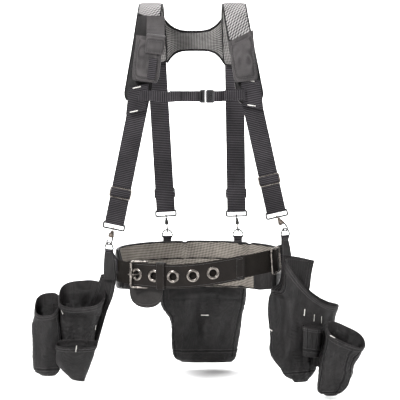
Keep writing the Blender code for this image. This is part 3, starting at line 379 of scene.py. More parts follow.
STEEL = metal("nickel_plate", (0.040, 0.035, 0.031), (0.36, 0.328, 0.300), 0.22)
DARK_STEEL = metal("worn_nickel", (0.022, 0.019, 0.017), (0.26, 0.235, 0.215), 0.26)
GUNMETAL = metal("dark_plate", (0.002, 0.0018, 0.0018), (0.016, 0.0146, 0.0140), 0.42, 0.30)
BRONZE = metal("bronze_plate", (0.022, 0.016, 0.013), (0.140, 0.110, 0.092), 0.38, 0.6)
PLASTIC = plastic("black_plastic", (0.005, 0.005, 0.006), (0.014, 0.014, 0.016))
# Pale plastic for the clip's front ridge: a painted highlight between clip and socket.
HIGHLIGHT_PLASTIC = plastic("pale_plastic_painted_highlight", (0.30, 0.30, 0.30), (0.46, 0.46, 0.46))
WHITE_THREAD = fabric("white_thread", (0.52, 0.51, 0.48), (0.90, 0.88, 0.84), 0.0012,
                      coordinates="Object", roughness=0.6, contrast=0.6)
GREY_THREAD = fabric("grey_thread", (0.030, 0.029, 0.030), (0.085, 0.082, 0.083), 0.0010,
                     coordinates="Object", roughness=0.6, contrast=0.5)


# ---------------------------------------------------------------- mesh helpers

def add_piece(obj, body, materials, replaces=()):
    """Show a new piece: it moves with its body and may stand for CAD nodes."""
    for material in materials:
        obj.data.materials.append(material)
    bpy.context.scene.collection.objects.link(obj)
    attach(obj, body)
    if replaces:
        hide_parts(*replaces)
    return obj


def skin(name, rows, closed_rows=False, material_of=None, sharp=50):
    """A closed mesh over rings of points, with UVs in metres and end caps where the rows don't meet."""
    rows = np.asarray(rows, float)
    count, sides = rows.shape[:2]
    u_steps = np.linalg.norm(np.roll(rows, -1, axis=0) - rows, axis=2).mean(1)
    v_steps = np.linalg.norm(np.roll(rows, -1, axis=1) - rows, axis=2).mean(0)
    u = np.concatenate([[0], np.cumsum(u_steps)])
    v = np.concatenate([[0], np.cumsum(v_steps)])
    spans = count if closed_rows else count - 1
    i, j = np.meshgrid(np.arange(spans), np.arange(sides), indexing="ij")
    below, beside = (i + 1) % count, (j + 1) % sides
    quads = np.stack([i * sides + j, below * sides + j, below * sides + beside, i * sides + beside], -1)
    uvs = np.stack([np.stack([u[i], v[j]], -1), np.stack([u[i + 1], v[j]], -1),
                    np.stack([u[i + 1], v[j + 1]], -1), np.stack([u[i], v[j + 1]], -1)], -2)
    quads, uvs = quads.reshape(-1, 4), uvs.reshape(-1, 4, 2)
    points = rows.reshape(-1, 3)
    a, b, c, d = (points[quads[:, k]] - points.mean(0) for k in range(4))
    volume = (a * np.cross(b, c)).sum() + (a * np.cross(c, d)).sum()
    if volume < 0:
        quads, uvs = quads[:, ::-1], uvs[:, ::-1]
    faces = quads.tolist()
    corners = uvs.reshape(-1, 2).tolist()
    indices = [material_of(m, n) for m, n in zip(i.ravel(), j.ravel())] if material_of else [0] * len(faces)
    if not closed_rows:
        for row in (0, count - 1):
            cap = [row * sides + k for k in range(sides)]
            if (row == 0) == (volume > 0):
                cap.reverse()
            faces.append(cap)
            corners += [(u[row], v[k % sides]) for k in cap]
            indices.append(indices[0] if row == 0 else indices[-1])
    mesh = bpy.data.meshes.new(name)
    mesh.from_pydata(points.tolist(), [], faces)
    mesh.uv_layers.new(name="UVMap").data.foreach_set("uv", np.asarray(corners, np.float32).ravel())
    mesh.polygons.foreach_set("material_index", indices)
    mesh.shade_smooth()
    mesh.set_sharp_from_angle(angle=radians(sharp))
    return bpy.data.objects.new(name, mesh)


def unit(vectors):
    return vectors / np.maximum(np.linalg.norm(vectors, axis=-1, keepdims=True), 1e-12)


def curve_through(points, spans):
    """A Catmull-Rom curve through arrays of points, with so many spans from each to the next."""
    knots = np.asarray(points, float)
    knots = np.concatenate([[2 * knots[0] - knots[1]], knots, [2 * knots[-1] - knots[-2]]])
    made = []
    for before, start, end, after in zip(knots, knots[1:], knots[2:], knots[3:]):
        for t in np.arange(spans) / spans:
            made.append(0.5 * (2 * start + (end - before) * t
                               + (2 * before - 5 * start + 4 * end - after) * t ** 2
                               + (3 * start - before - 3 * end + after) * t ** 3))
    made.append(knots[-2])
    return np.array(made)


def even(path, spacing, closed=False):
    """Points at an even spacing along a path."""
    points = np.asarray(path, float)
    if closed:
        points = np.vstack([points, points[:1]])
    lengths = np.concatenate([[0], np.cumsum(np.linalg.norm(np.diff(points, axis=0), axis=1))])
    count = max(int(round(lengths[-1] / spacing)), 2)
    marks = np.linspace(0, lengths[-1], count + 1)
    if closed:
        marks = marks[:-1]
    return np.stack([np.interp(marks, lengths, points[:, k]) for k in range(points.shape[1])], -1)


def directions(path, closed=False):
    path = np.asarray(path, float)
    if closed:
        return unit(np.roll(path, -1, axis=0) - np.roll(path, 1, axis=0))
    return unit(np.gradient(path, axis=0))


def tube(name, path, radius, closed=False, sides=12):
    """A round wire along a path, thinner where a list of radii says so."""
    path = np.asarray(path, float)
    along = directions(path, closed)
    radii = np.broadcast_to(radius, (len(path),))
    start = np.eye(3)[np.argmin(np.abs(along[0]))]
    turns = tau * np.arange(sides) / sides
    rows = []
    for point, forward, size in zip(path, along, radii):
        start = unit(start - forward * np.dot(start, forward))
        side = np.cross(forward, start)
        rows.append(point + size * (np.outer(np.cos(turns), start) + np.outer(np.sin(turns), side)))
    return skin(name, rows, closed_rows=closed)


def lathe(name, profile, matrix, sides=36):
    """A closed profile of radius and height, turned round the matrix's Z axis."""
    rows = [[matrix @ Vector((r * cos(tau * k / sides), r * sin(tau * k / sides), z)) for r, z in profile]
            for k in range(sides)]
    return skin(name, rows, closed_rows=True)


def rounded(width, height, corner, corner_points=7):
    """Points round a rectangle in X and Z with round corners."""
    points = []
    for quarter, (side_x, side_z) in enumerate(((1, 1), (-1, 1), (-1, -1), (1, -1))):
        for step in range(corner_points):
            angle = (quarter + step / (corner_points - 1)) * pi / 2
            points.append((side_x * (width / 2 - corner) + corner * cos(angle), 0,
                           side_z * (height / 2 - corner) + corner * sin(angle)))
    return points


def placed(points, matrix):
    return [tuple(matrix @ Vector(point)) for point in points]


def away_from_axis(points):
    return points * np.array((1, 1, 0))


def grid_normals(grid, outward):
    """Unit normals of a grid of points, on the side that outward(points) points to."""
    normals = unit(np.cross(np.gradient(grid, axis=0), np.gradient(grid, axis=1)))
    return normals if (normals * outward(grid)).sum() > 0 else -normals


def thick(name, grid, thickness, outward=away_from_axis, shape=None, material_of=None, sharp=50):
    """A closed sheet over a grid of points, thickened to both sides. The outer side comes first."""
    grid = np.asarray(grid, float)
    normals = grid_normals(grid, outward)
    share = np.ones(grid.shape[:2]) if shape is None else shape
    half = (thickness / 2 * share)[..., None]
    across = unit(np.gradient(grid, axis=1))
    low = grid[:, :1] - across[:, :1] * half[:, :1] * 0.7
    high = grid[:, -1:] + across[:, -1:] * half[:, -1:] * 0.7
    outer, inner = grid + normals * half, grid - normals * half
    rings = np.concatenate([outer, high, inner[:, ::-1], low], axis=1)
    return skin(name, rings, material_of=material_of, sharp=sharp)


def padding(rows, columns, edge_rows, edge_columns, least):
    """Thickness shares that fall to the least at a pad's edges and are full inside."""
    def rise(count, edge):
        near = np.minimum(np.arange(count), np.arange(count)[::-1]) / max(edge, 1)
        return np.sqrt(np.clip(1 - (1 - np.clip(near, 0, 1)) ** 2, 0, 1))
    return least + (1 - least) * np.outer(rise(rows, edge_rows), rise(columns, edge_columns))


def border(grid, inset=0):
    """The points round the edge of a grid, or round a line inside it."""
    last_row, last_column = grid.shape[0] - 1 - inset, grid.shape[1] - 1 - inset
    return np.concatenate([grid[inset:last_row, inset], grid[last_row, inset:last_column],
                           grid[last_row:inset:-1, last_column], grid[inset, last_column:inset:-1]])


def binding(name, grid, body, half_width, half_thickness, material, outward=away_from_axis):
    """Folded tape round the whole edge of a pad."""
    grid = np.asarray(grid, float)
    edge, normals = border(grid), border(grid_normals(grid, outward))
    together = even(np.hstack([edge, normals]), 0.004, closed=True)
    points, normals = together[:, :3], unit(together[:, 3:])
    for _ in range(3):
        points = (np.roll(points, 1, axis=0) + 2 * points + np.roll(points, -1, axis=0)) / 4
    across = unit(np.cross(directions(points, True), normals))
    inward = np.sign((across * (points.mean(0) - points)).sum())
    points = points + across * inward * (half_width - 0.0010)
    rows = []
    for point, side, normal in zip(points, across, normals):
        rows.append([point + side * half_width * cos(t) * abs(cos(t)) ** -0.35
                     + normal * half_thickness * sin(t) * abs(sin(t)) ** -0.35
                     for t in (tau * (k + 0.5) / 16 for k in range(16))])
    return add_piece(skin(name, rows, closed_rows=True), body, [material])


# Stitches are collected here and made into one object for each body and thread
SEWN = {}


def sew_grains(body, thread, centres, along, normals, length, radius):
    """Add raised thread grains: each is a short spindle that lies along its own direction."""
    along = unit(np.asarray(along, float))
    normals = np.asarray(normals, float)
    normals = unit(normals - along * (normals * along).sum(-1, keepdims=True))
    side = np.cross(along, normals)
    centres = np.asarray(centres, float)
    grains = np.stack([centres - along * length / 2, centres + normals * radius, centres + side * radius,
                       centres - normals * radius, centres - side * radius, centres + along * length / 2], 1)
    SEWN.setdefault((body, thread), []).append(grains)


def sew(body, path, normals, thread="grey", closed=False, pitch=0.0036, length=0.0027, radius=0.00042):
    """A row of stitches along a path on a surface with these normals."""
    path, normals = np.asarray(path, float), np.asarray(normals, float)
    normals = np.broadcast_to(normals, path.shape)
    together = even(np.hstack([path, normals]), pitch, closed)
    points = together[:, :3]
    sew_grains(body, thread, points, directions(points, closed), together[:, 3:], length, radius)


def tack(body, start, end, normal, width=0.0030):
    """A bar tack of white thread, dense and satin-stitched."""
    start, end, normal = (np.asarray(value, float) for value in (start, end, normal))
    count = max(int(np.linalg.norm(end - start) / 0.0006), 6)
    points = start + (end - start) * (np.arange(count + 1) / count)[:, None]
    across = unit(np.cross(end - start, normal))
    slant = unit(end - start) * 0.15
    sides = across + slant * np.where(np.arange(count + 1) % 2, 1, -1)[:, None]
    sew_grains(body, "white", points, sides, np.broadcast_to(normal, points.shape), width, 0.00055)


def make_stitching():
    threads = {"grey": GREY_THREAD, "white": WHITE_THREAD}
    ends = np.array([(5, 1, 2), (5, 2, 3), (5, 3, 4), (5, 4, 1), (0, 2, 1), (0, 3, 2), (0, 4, 3), (0, 1, 4)])
    for (body, thread), groups in SEWN.items():
        grains = np.concatenate(groups)
        faces = (ends[None] + 6 * np.arange(len(grains))[:, None, None]).reshape(-1, 3)
        mesh = bpy.data.meshes.new("stitching")
        mesh.from_pydata(grains.reshape(-1, 3).tolist(), [], faces.tolist())
        mesh.shade_smooth()
        add_piece(bpy.data.objects.new(f"stitching_{thread}_{body}", mesh), body, [threads[thread]])


def cut(obj, cutter):
    """Cut a helper's shape out of a piece for good."""
    bpy.context.scene.collection.objects.link(cutter)
    bpy.context.scene.collection.objects.link(obj)
    modifier = obj.modifiers.new("cut", "BOOLEAN")
    modifier.operation = "DIFFERENCE"
    modifier.solver = "EXACT"
    modifier.object = cutter
    mesh = bpy.data.meshes.new_from_object(obj.evaluated_get(bpy.context.evaluated_depsgraph_get()))
    obj.modifiers.clear()
    obj.data = mesh
    mesh.shade_smooth()
    mesh.set_sharp_from_angle(angle=radians(40))
    bpy.context.scene.collection.objects.unlink(obj)
    bpy.data.objects.remove(cutter)
    return obj


def moulded(name, size, matrix, bevel):
    """A rounded block for a moulded part, as a mesh in place."""
    half = [value / 2 for value in size]
    rows = []
    for share in np.linspace(-1, 1, 9):
        inset = bevel * (1 - (1 - max(abs(share) - 0.75, 0) ** 2 * 16) ** 0.5)
        outline = rounded(size[0] - 2 * inset, size[2] - 2 * inset, bevel * 1.5)
        rows.append(placed([(x, half[1] * share, z) for x, _, z in outline], matrix))
    return skin(name, rows)


# ---------------------------------------------------------------- the waist oval

def axes(origin, right, up):
    """A frame at origin whose X lies along right and whose Z is as near to up as it can be."""
    x = Vector(right).normalized()
    z = (Vector(up) - x * x.dot(Vector(up))).normalized()
    return Matrix.Translation(origin) @ Matrix((x, z.cross(x), z)).transposed().to_4x4()


def smoothstep(value):
    value = min(max(value, 0), 1)
    return value * value * (3 - 2 * value)


def oval(angle, inset=0.0):
    """A point on the waist oval, or inside it by inset, at height 0. The front is at 270 degrees."""
    outward = Vector((WAIST_HALF_DEPTH * cos(angle), WAIST_HALF_WIDTH * sin(angle), 0)).normalized()
    return Vector((WAIST_HALF_WIDTH * cos(angle), WAIST_HALF_DEPTH * sin(angle), 0)) - outward * inset


def belt_height(point):
    """Height of the belt's middle: it rises to the right at the front and is level at the back."""
    rise = FRONT_RISE * smoothstep((point.x - RISE_START) / (RISE_END - RISE_START))
    return (FRONT_HEIGHT + rise) * (1 - smoothstep(point.y / WAIST_HALF_DEPTH))


def angle_at_x(x):
    """The front angle of the oval at this X, found by halving the front half."""
    low, high = pi, 2 * pi
    for _ in range(40):
        middle = (low + high) / 2
        if oval(middle).x < x:
            low = middle
        else:
            high = middle
    return low


def angle_along(angle, distance):
    """The angle that lies a distance along the oval from another, to the right if positive."""
    steps = 200
    for _ in range(steps):
        slope = (oval(angle + 0.001) - oval(angle)).length / 0.001
        angle += distance / steps / slope
    return angle


def belt_axes(angle, inset=0.0):
    """A frame on the belt: X to the right along it, Y inward and Z up."""
    point = oval(angle, inset)
    point.z = belt_height(point)
    return axes(point, oval(angle + 0.001) - oval(angle - 0.001), UP)


def belt_grid(start, end, rows, inset, height, columns=9):
    """Points of a belt layer between two angles, from its lower edge to its upper edge."""
    grid = []
    for angle in np.linspace(start, end, rows):
        point = oval(angle, inset)
        middle = belt_height(point)
        grid.append([(point.x, point.y, middle + height * share) for share in np.linspace(-0.5, 0.5, columns)])
    return np.array(grid)


FIRST = angle_at_x(GROMMET_START)
SLIDE_ANGLE = angle_at_x(SLIDE_X)


def ribs(rows, columns, spacing, pitch, depth):
    """Thickness shares for webbing: cross ribs inside flat selvedges."""
    along = 1 - depth * (0.5 + 0.5 * np.cos(tau * np.arange(rows) * spacing / pitch))
    shares = np.outer(along, np.ones(columns))
    shares[:, (0, -1)] = 0.80
    return shares


# ---------------------------------------------------------------- waist belt

def make_back_pad():
    start, end = angle_at_x(PAD_END_X) - 2 * pi, angle_at_x(-PAD_END_X)
    rows, columns = 240, 41
    grid = []
    for angle in np.linspace(start, end, rows):
        from_end = min(angle - start, end - angle)
        low = PAD_BOTTOM + PAD_CORNER * max(1 - from_end / BOTTOM_CORNER_RUN, 0)
        high = PAD_TOP - PAD_CORNER * max(1 - from_end / TOP_CORNER_RUN, 0)
        point = oval(angle, PAD_INSET)
        for notch, depth in ((-0.036, 0.004), (0.138, 0.004)):
            if point.y > 0:
                high -= depth * np.exp(-((point.x - notch) / 0.006) ** 2)
        grid.append([(point.x, point.y, z) for z in np.linspace(low, high, columns)])
    grid = np.array(grid)
    shape = padding(rows, columns, 8, 7, 0.45)
    shape *= 1 - 0.45 * np.exp(-((grid[..., 2] - PAD_SEAM) / 0.0035) ** 2)
    fold = (grid[..., 0] - 0.118) / 0.008
    shape *= 1 - 0.25 * np.exp(-fold ** 2) * (grid[..., 1] > 0)
    for i in range(0, rows, 2):
        for j in range(columns):
            soft = noise.noise(Vector(grid[i, j]) * 28)
            shape[i:i + 2, j] *= 1 + 0.10 * soft

    def material_of(i, j):
        """Mesh inside and nylon outside, with a smooth nylon patch low on the inside at the right: partly a real
        patch, partly painted shade under the belt.
        """
        if j <= columns or j == 2 * columns + 1:
            return 0
        x, y, z = grid[min(i, rows - 1), 2 * columns - j]
        # Left of x 0.085 the dark nylon is a low band of painted shade under the belt; to the right it rises to the
        # real patch.
        patch_and_shade_top = -0.034 + 0.022 * smoothstep((x - 0.085) / 0.05)
        patch = x > 0.03 and z < patch_and_shade_top or x < -0.15 and z < -0.020
        return 0 if patch and y < 0.10 else 1

    pad = thick("back_pad_cushion", grid, PAD_THICKNESS, shape=shape, material_of=material_of)
    add_piece(pad, "root", [NYLON, LINING], ["back_pad"])
    binding("back_pad_binding", grid, "root", 0.0045, 0.0052, TAPE)
    inner = grid - grid_normals(grid, away_from_axis) * PAD_THICKNESS * 0.30
    seam = int(np.argmin(np.abs(grid[rows // 2, :, 2] - PAD_SEAM)))
    line = inner[8:-8, seam]
    tape = tube("back_pad_seam", even(line, 0.004), 0.0017, sides=8)
    add_piece(tape, "root", [TAPE])


def make_belt():
    long_end = angle_along(FIRST, NOSE_ALONG - 0.012)
    long_start = SLIDE_ANGLE + radians(6) - 2 * pi
    rows = 420
    grid = belt_grid(long_start, long_end, rows, WEBBING_INSET, WEBBING_WIDTH, 11)
    spacing = float(np.linalg.norm(np.diff(grid[:, 5], axis=0), axis=1).mean())
    webbing = thick("belt_webbing_band", grid, WEBBING_THICKNESS, shape=ribs(rows, 11, spacing, 0.0094, 0.12))
    add_piece(webbing, "root", [BELT_WEBBING], ["belt_webbing"])

    start, end = angle_along(FIRST, NOSE_ALONG - 0.008), angle_at_x(0.117)
    rows, columns = 110, 17
    grid = belt_grid(start, end, rows, 0, STRIP_HEIGHT, columns)
    shape = padding(rows, columns, 3, 2, 0.72)
    strip = thick("grommet_strip_leather", grid, STRIP_THICKNESS, shape=shape)
    for number in range(GROMMET_COUNT):
        facing = belt_axes(angle_along(FIRST, number * GROMMET_PITCH)) @ Matrix.Rotation(pi / 2, 4, "X")
        radius = GROMMET_BARREL + GAP
        ring = [[facing @ Vector((radius * cos(a), radius * sin(a), z))
                 for a in tau * np.arange(32) / 32] for z in (-0.015, 0.015)]
        strip = cut(strip, skin(f"hole_{number}", ring))
    add_piece(strip, "root", [STRIP], ["grommet_strip"])
    normals = grid_normals(grid, away_from_axis)
    outer = grid + normals * (STRIP_THICKNESS / 2 + 0.0001)
    for column in (1, columns - 2):
        sew("root", outer[2:-2, column], normals[2:-2, column])
    patch = slice(rows - 9, rows - 2)
    sew("root", border(outer[patch, 2:-2]), border(normals[patch, 2:-2]), closed=True)
    sew("root", outer[rows - 9, 2:-2], normals[rows - 9, 2:-2])


def make_grommets():
    middle, half = (GROMMET_BORE + GROMMET_FLANGE) / 2, (GROMMET_FLANGE - GROMMET_BORE) / 2
    for number in range(GROMMET_COUNT):
        facing = belt_axes(angle_along(FIRST, number * GROMMET_PITCH)) @ Matrix.Rotation(pi / 2, 4, "X")
        crown = [(middle - half * cos(pi * k / 10), GROMMET_GRIP - 0.0003 + GROMMET_CROWN * sin(pi * k / 10))
                 for k in range(11)]
        lip = [(GROMMET_BARREL, GROMMET_GRIP - 0.0005)]
        upper = crown + lip
        profile = upper + [(r, -z) for r, z in reversed(upper)]
        add_piece(lathe(f"grommet_{number + 1}_ring", profile, facing, 48), "root", [STEEL],
                  [f"grommet_{number + 1}"])


def make_buckle():
    base = belt_axes(FIRST)
    tilt = atan((HEEL_DEEP + NOSE_PROUD) / (HEEL_ALONG - NOSE_ALONG))
    middle = Vector(((NOSE_ALONG + HEEL_ALONG) / 2, (HEEL_DEEP - NOSE_PROUD) / 2, 0))
    length = (HEEL_ALONG - NOSE_ALONG) / cos(tilt)
    seat = base @ Matrix.Translation(middle) @ Matrix.Rotation(tilt, 4, "Z")
    outline = even(placed(rounded(length, 2 * BUCKLE_HALF_HEIGHT, 0.0055), seat), 0.0012, True)
    add_piece(tube("buckle_wire", outline, BUCKLE_WIRE * 1.4, True, 16), "root", [DARK_STEEL], ["buckle_frame"])

    straight = BUCKLE_HALF_HEIGHT - 0.0048
    bore, radius = 0.0023, ROLLER_RADIUS
    profile = [(bore, straight), (radius - 0.0006, straight), (radius, straight - 0.0006)]
    profile += [(r, -z) for r, z in reversed(profile)]
    nose = seat @ Matrix.Translation((-length / 2, 0, 0))
    add_piece(lathe("buckle_roller_tube", profile, nose, 28), "buckle_roller", [STEEL],
              ["buckle_roller"])

    heel = Vector((HEEL_ALONG, HEEL_DEEP, 0))
    eye = [(PRONG_EYE * cos(a), PRONG_EYE * sin(a), 0) for a in np.radians(np.arange(150, -165, -15))]
    over_roller = -NOSE_PROUD - ROLLER_RADIUS - PRONG_WIRE - 2 * GAP
    behind = 0.0030 + 0.0012 + PRONG_WIRE + 5 * GAP
    through = ((0.0190, behind + 0.0028), (0.0135, behind + 0.0008), (0.0070, behind - 0.0006),
               (-0.0060, -0.0085), (-0.0105, over_roller), (NOSE_ALONG - 0.0050, over_roller))
    shank = [(along - heel.x, deep - heel.y, 0) for along, deep in through]
    path = np.vstack([eye[:-1], curve_through([eye[-1], *shank], 8)])
    path = np.array(placed(even(path, 0.0008), base @ Matrix.Translation(heel)))
    radii = np.full(len(path), PRONG_WIRE)
    radii[-6:] = PRONG_WIRE * np.linspace(1, 0.55, 6)
    add_piece(tube("buckle_prong_wire", path, radii, sides=14), "buckle_prong", [DARK_STEEL],
              ["buckle_prong"])


def make_buckle_webbing():
    heel = belt_axes(FIRST) @ Vector((HEEL_ALONG, HEEL_DEEP, 0))
    local = belt_axes(FIRST).to_3x3()
    turn = BUCKLE_WIRE + GAP + FOLD_THICKNESS / 2
    middles = [oval(angle_along(FIRST, HEEL_ALONG + 0.032), FOLD_INSET + 2 * turn)]
    for step in range(13):
        angle = pi / 2 + pi * step / 12
        middles.append(heel + local @ Vector((turn * cos(angle), turn * sin(angle), 0)))
    start, end = angle_along(FIRST, HEEL_ALONG + 0.014), SLIDE_ANGLE + radians(3.5)
    middles += [oval(angle, FOLD_INSET) for angle in np.linspace(start, end, 60)]
    line = even([(m.x, m.y) for m in middles], 0.002)
    grid = np.array([[(x, y, belt_height(Vector((x, y, 0))) + WEBBING_WIDTH * share)
                      for share in np.linspace(-0.5, 0.5, 9)] for x, y in line])
    webbing = thick("buckle_webbing_fold", grid, FOLD_THICKNESS, shape=ribs(len(grid), 9, 0.002, 0.0094, 0.12))
    slot = moulded("slot", (0.024, 0.018, 0.015), belt_axes(FIRST) @
                   Matrix.Translation((HEEL_ALONG - 0.003, HEEL_DEEP, 0)), 0.003)
    add_piece(cut(webbing, slot), "root", [BELT_WEBBING], ["buckle_webbing"])


def make_keeper():
    seat = belt_axes(angle_along(FIRST, KEEPER_ALONG))
    depth = KEEPER_BACK - KEEPER_FRONT
    shift = (KEEPER_BACK + KEEPER_FRONT) / 2
    outline = even([(y + shift, z) for y, _, z in rounded(depth, KEEPER_HEIGHT, 0.004)], 0.0015, True)
    grid = np.array([placed([(KEEPER_WIDTH * share, y, z) for share in np.linspace(-0.5, 0.5, 9)], seat)
                     for y, z in outline])
    centre = np.array(seat.translation)
    normals = unit(np.cross(np.roll(grid, -1, 0) - np.roll(grid, 1, 0), np.gradient(grid, axis=1)))
    normals *= np.sign((normals * (grid - centre)).sum())
    half = 0.0011 * np.array((0.6, 1, 1, 1, 1, 1, 1, 1, 0.6))[None, :, None]
    rings = np.concatenate([grid + normals * half, (grid - normals * half)[:, ::-1]], axis=1)
    add_piece(skin("belt_keeper_loop", rings, closed_rows=True), "root", [STRIP], ["belt_keeper"])
    for column in (1, 7):
        sew("root", grid[:, column] + normals[:, column] * 0.0012, normals[:, column], closed=True)


def make_guard():
    """A rounded leather flap behind the buckle, with a row of stitches along its rounded lower edge."""
    middle = angle_along(FIRST, GUARD_ALONG)
    rows, columns = 61, 21
    grid = []
    for step in range(rows):
        turn = pi * step / (rows - 1)
        point = oval(angle_along(middle, -GUARD_HALF_WIDTH * cos(turn)), GUARD_INSET)
        low = GUARD_SIDE - GUARD_ROUND * max(sin(turn), 0) ** GUARD_POWER
        grid.append([(point.x, point.y, z) for z in np.linspace(low, GUARD_TOP, columns)])
    grid = np.array(grid)
    guard = thick("buckle_guard_leather", grid, 0.0026, shape=padding(rows, columns, 2, 2, 0.6))
    add_piece(guard, "root", [GUARD], ["buckle_guard"])
    normals = grid_normals(grid, away_from_axis)
    lip = grid[3:-3, 1] + normals[3:-3, 1] * 0.0015
    sew("root", lip + UP_ARRAY * 0.0025, normals[3:-3, 1], pitch=0.0042, length=0.0030)


def make_belt_loops():
    """Cloth loops that carry the two bags: each lies over the belt's side, above the bag's seam."""
    loops = {
        "left": (((-0.2405, -0.0500, 0.0530), (-0.2190, -0.0560, 0.0530)),
                 ((-0.2425, -0.0500, 0.0250), (-0.2140, -0.0600, 0.0250)),
                 ((-0.2440, -0.0500, -0.0200), (-0.2110, -0.0600, -0.0200))),
        "right": (((0.2150, -0.0690, 0.0850), (0.2320, -0.0600, 0.0850)),
                  ((0.2150, -0.0720, 0.0670), (0.2360, -0.0600, 0.0670)),
                  ((0.2150, -0.0740, 0.0490), (0.2400, -0.0600, 0.0410))),
    }
    for side, stations in loops.items():
        edges = curve_through([[*left, *right] for left, right in stations], 14)
        grid = np.array([[row[:3] + (row[3:] - row[:3]) * share for share in np.linspace(0, 1, 11)]
                         for row in edges])
        loop = thick(f"{side}_belt_loop", grid, 0.0026, shape=padding(len(grid), 11, 2, 2, 0.7))
        add_piece(loop, "root", [NYLON])
        normals = grid_normals(grid, away_from_axis)
        sew("root", border(grid + normals * 0.0015, 1), border(normals, 1), closed=True)


def make_slide():
    seat = belt_axes(SLIDE_ANGLE) @ Matrix.Translation((0, -0.0022, 0))
    upright = seat @ Matrix.Rotation(pi / 2 - radians(8), 4, "Y")
    outline = even(placed(rounded(0.0660, 0.038, 0.009), upright), 0.0014, True)
    add_piece(tube("belt_slide_wire", outline, 0.0021, True, 14), "root", [STEEL], ["belt_slide"])
    bar = placed([(x, -0.0004, 0) for x in np.linspace(-0.0325, 0.0325, 20)], upright)
    add_piece(tube("belt_slide_bar", bar, 0.0017, sides=12), "root", [STEEL])
    hump = [(-0.0090, 0.0016), (-0.0060, -0.0016), (0, -0.0034), (0.0060, -0.0016), (0.0090, 0.0016)]
    line = even(curve_through(hump, 6), 0.0008)
    grid = np.array([placed([(x, y, z) for x in np.linspace(-0.0275, 0.0275, 9)], upright) for z, y in line])
    add_piece(thick("belt_slide_webbing", grid, 0.0018), "root", [BELT_WEBBING])


# ---------------------------------------------------------------- suspender straps

def strap_axes(place):
    """A frame at the loop's top bar: Z up the strap, X across it and Y away from the viewer."""
    top, bottom, _ = STRAPS[place]
    up = (Vector(top) - Vector(bottom)).normalized()
    return axes(bottom, Vector((0, -1, 0)).cross(up) * -1, up)


def loop_bar(place):
    """The middle of the loop's lower bar."""
    return strap_axes(place) @ Vector((0, 0, -LOOP_HEIGHT))


def ring_top(place):
    """The top of a ring: the hook reaches it from the loop's bar at a set length."""
    bar = loop_bar(place)
    plan = Vector((*RINGS[place][0], 0))
    aside = Vector((plan.x - bar.x, plan.y - bar.y, 0))
    return plan + UP * (bar.z - (RING_REACH ** 2 - aside.length_squared) ** 0.5)


def hook_axes(place):
    """A frame at the loop's lower bar: -Z points at the ring and X lies along the bar."""
    bar = loop_bar(place)
    up = (bar - ring_top(place)).normalized()
    across = strap_axes(place).to_3x3() @ Vector((1, 0, 0))
    return axes(bar, across - up * across.dot(up), up)


def hook_twist(place):
    """How far the hook's own plane is turned from the loop's, so that it crosses the ring."""
    return radians(90) if place.startswith("back") else radians(42 if place.endswith("left") else -42)


def band_grid(base, middles, width, columns=11):
    """Points of a ribbon whose middle line is given as depth and height in the base's frame."""
    return np.array([placed([(x, y, z) for x in np.linspace(-width / 2, width / 2, columns)], base)
                     for y, z in middles])


def make_strap(place):
    top, bottom, slider_at = STRAPS[place]
    base = strap_axes(place)
    length = (Vector(top) - Vector(bottom)).length
    turn = LOOP_WIRE + GAP + STRAP_THICKNESS / 2
    slider_height = length * (1 - slider_at)
    middles = [(-turn, length), (-turn, slider_height)]
    middles += [(turn * cos(a), turn * sin(a)) for a in pi + pi * np.arange(13) / 12]
    middles.append((turn, slider_height))
    line = even(middles, RIB_PITCH / 6)
    grid = band_grid(base, line, STRAP_WIDTH)
    side = Vector(base.to_3x3() @ Vector((0, -1, 0)))

    def near(points):
        return np.broadcast_to(np.array(side), points.shape)

    shape = ribs(len(grid), 11, RIB_PITCH / 6, RIB_PITCH, 0.38)
    strap = thick(f"strap_webbing_{place}", grid, STRAP_THICKNESS * 1.12, near, shape)
    add_piece(strap, "root", [WEBBING], [f"strap_{place}"])

    outer_side = 1 if place.startswith("back") else -1
    beside = turn + STRAP_THICKNESS / 2 + GAP + SLIDER_WIRE / 2
    seat = base @ Matrix.Translation((0, outer_side * beside, slider_height))
    finish = GUNMETAL if place.startswith("back") else STEEL
    outline = even(placed(rounded(STRAP_WIDTH + 0.0044, SLIDER_HEIGHT - SLIDER_WIRE, 0.0040), seat), 0.0014, True)
    body = f"slider_{place}"
    add_piece(tube(f"slider_wire_{place}", outline, SLIDER_WIRE / 2, True, 14), body, [finish], [body])
    bar = placed([(x, 0, 0) for x in np.linspace(-0.0262, 0.0262, 16)], seat)
    add_piece(tube(f"slider_bar_{place}", bar, SLIDER_WIRE / 2, sides=12), body, [finish])
    lift = outer_side * (SLIDER_WIRE / 2 + STRAP_THICKNESS / 2 + 0.0001)
    hump = [(-0.0105, -lift * 0.35), (-0.0060, lift * 0.75), (0, lift), (0.0060, lift * 0.75), (0.0105, -lift * 0.35)]
    line = even(curve_through(hump, 6), RIB_PITCH / 6)
    grid = band_grid(seat, [(y, z) for z, y in line], STRAP_WIDTH - 0.0006)
    hump = thick(f"slider_webbing_{place}", grid, STRAP_THICKNESS * 0.9, near,
                 ribs(len(grid), 11, RIB_PITCH / 6, RIB_PITCH, 0.38))
    add_piece(hump, body, [WEBBING])

    seat = base @ Matrix.Translation((0, 0, -LOOP_HEIGHT / 2))
    outline = even(placed(rounded(LOOP_WIDTH, LOOP_HEIGHT, LOOP_BEND * 1.3), seat), 0.0012, True)
    add_piece(tube(f"loop_wire_{place}", outline, LOOP_WIRE * 1.4, True, 14), "root", [GUNMETAL],
              [f"strap_loop_{place}"])


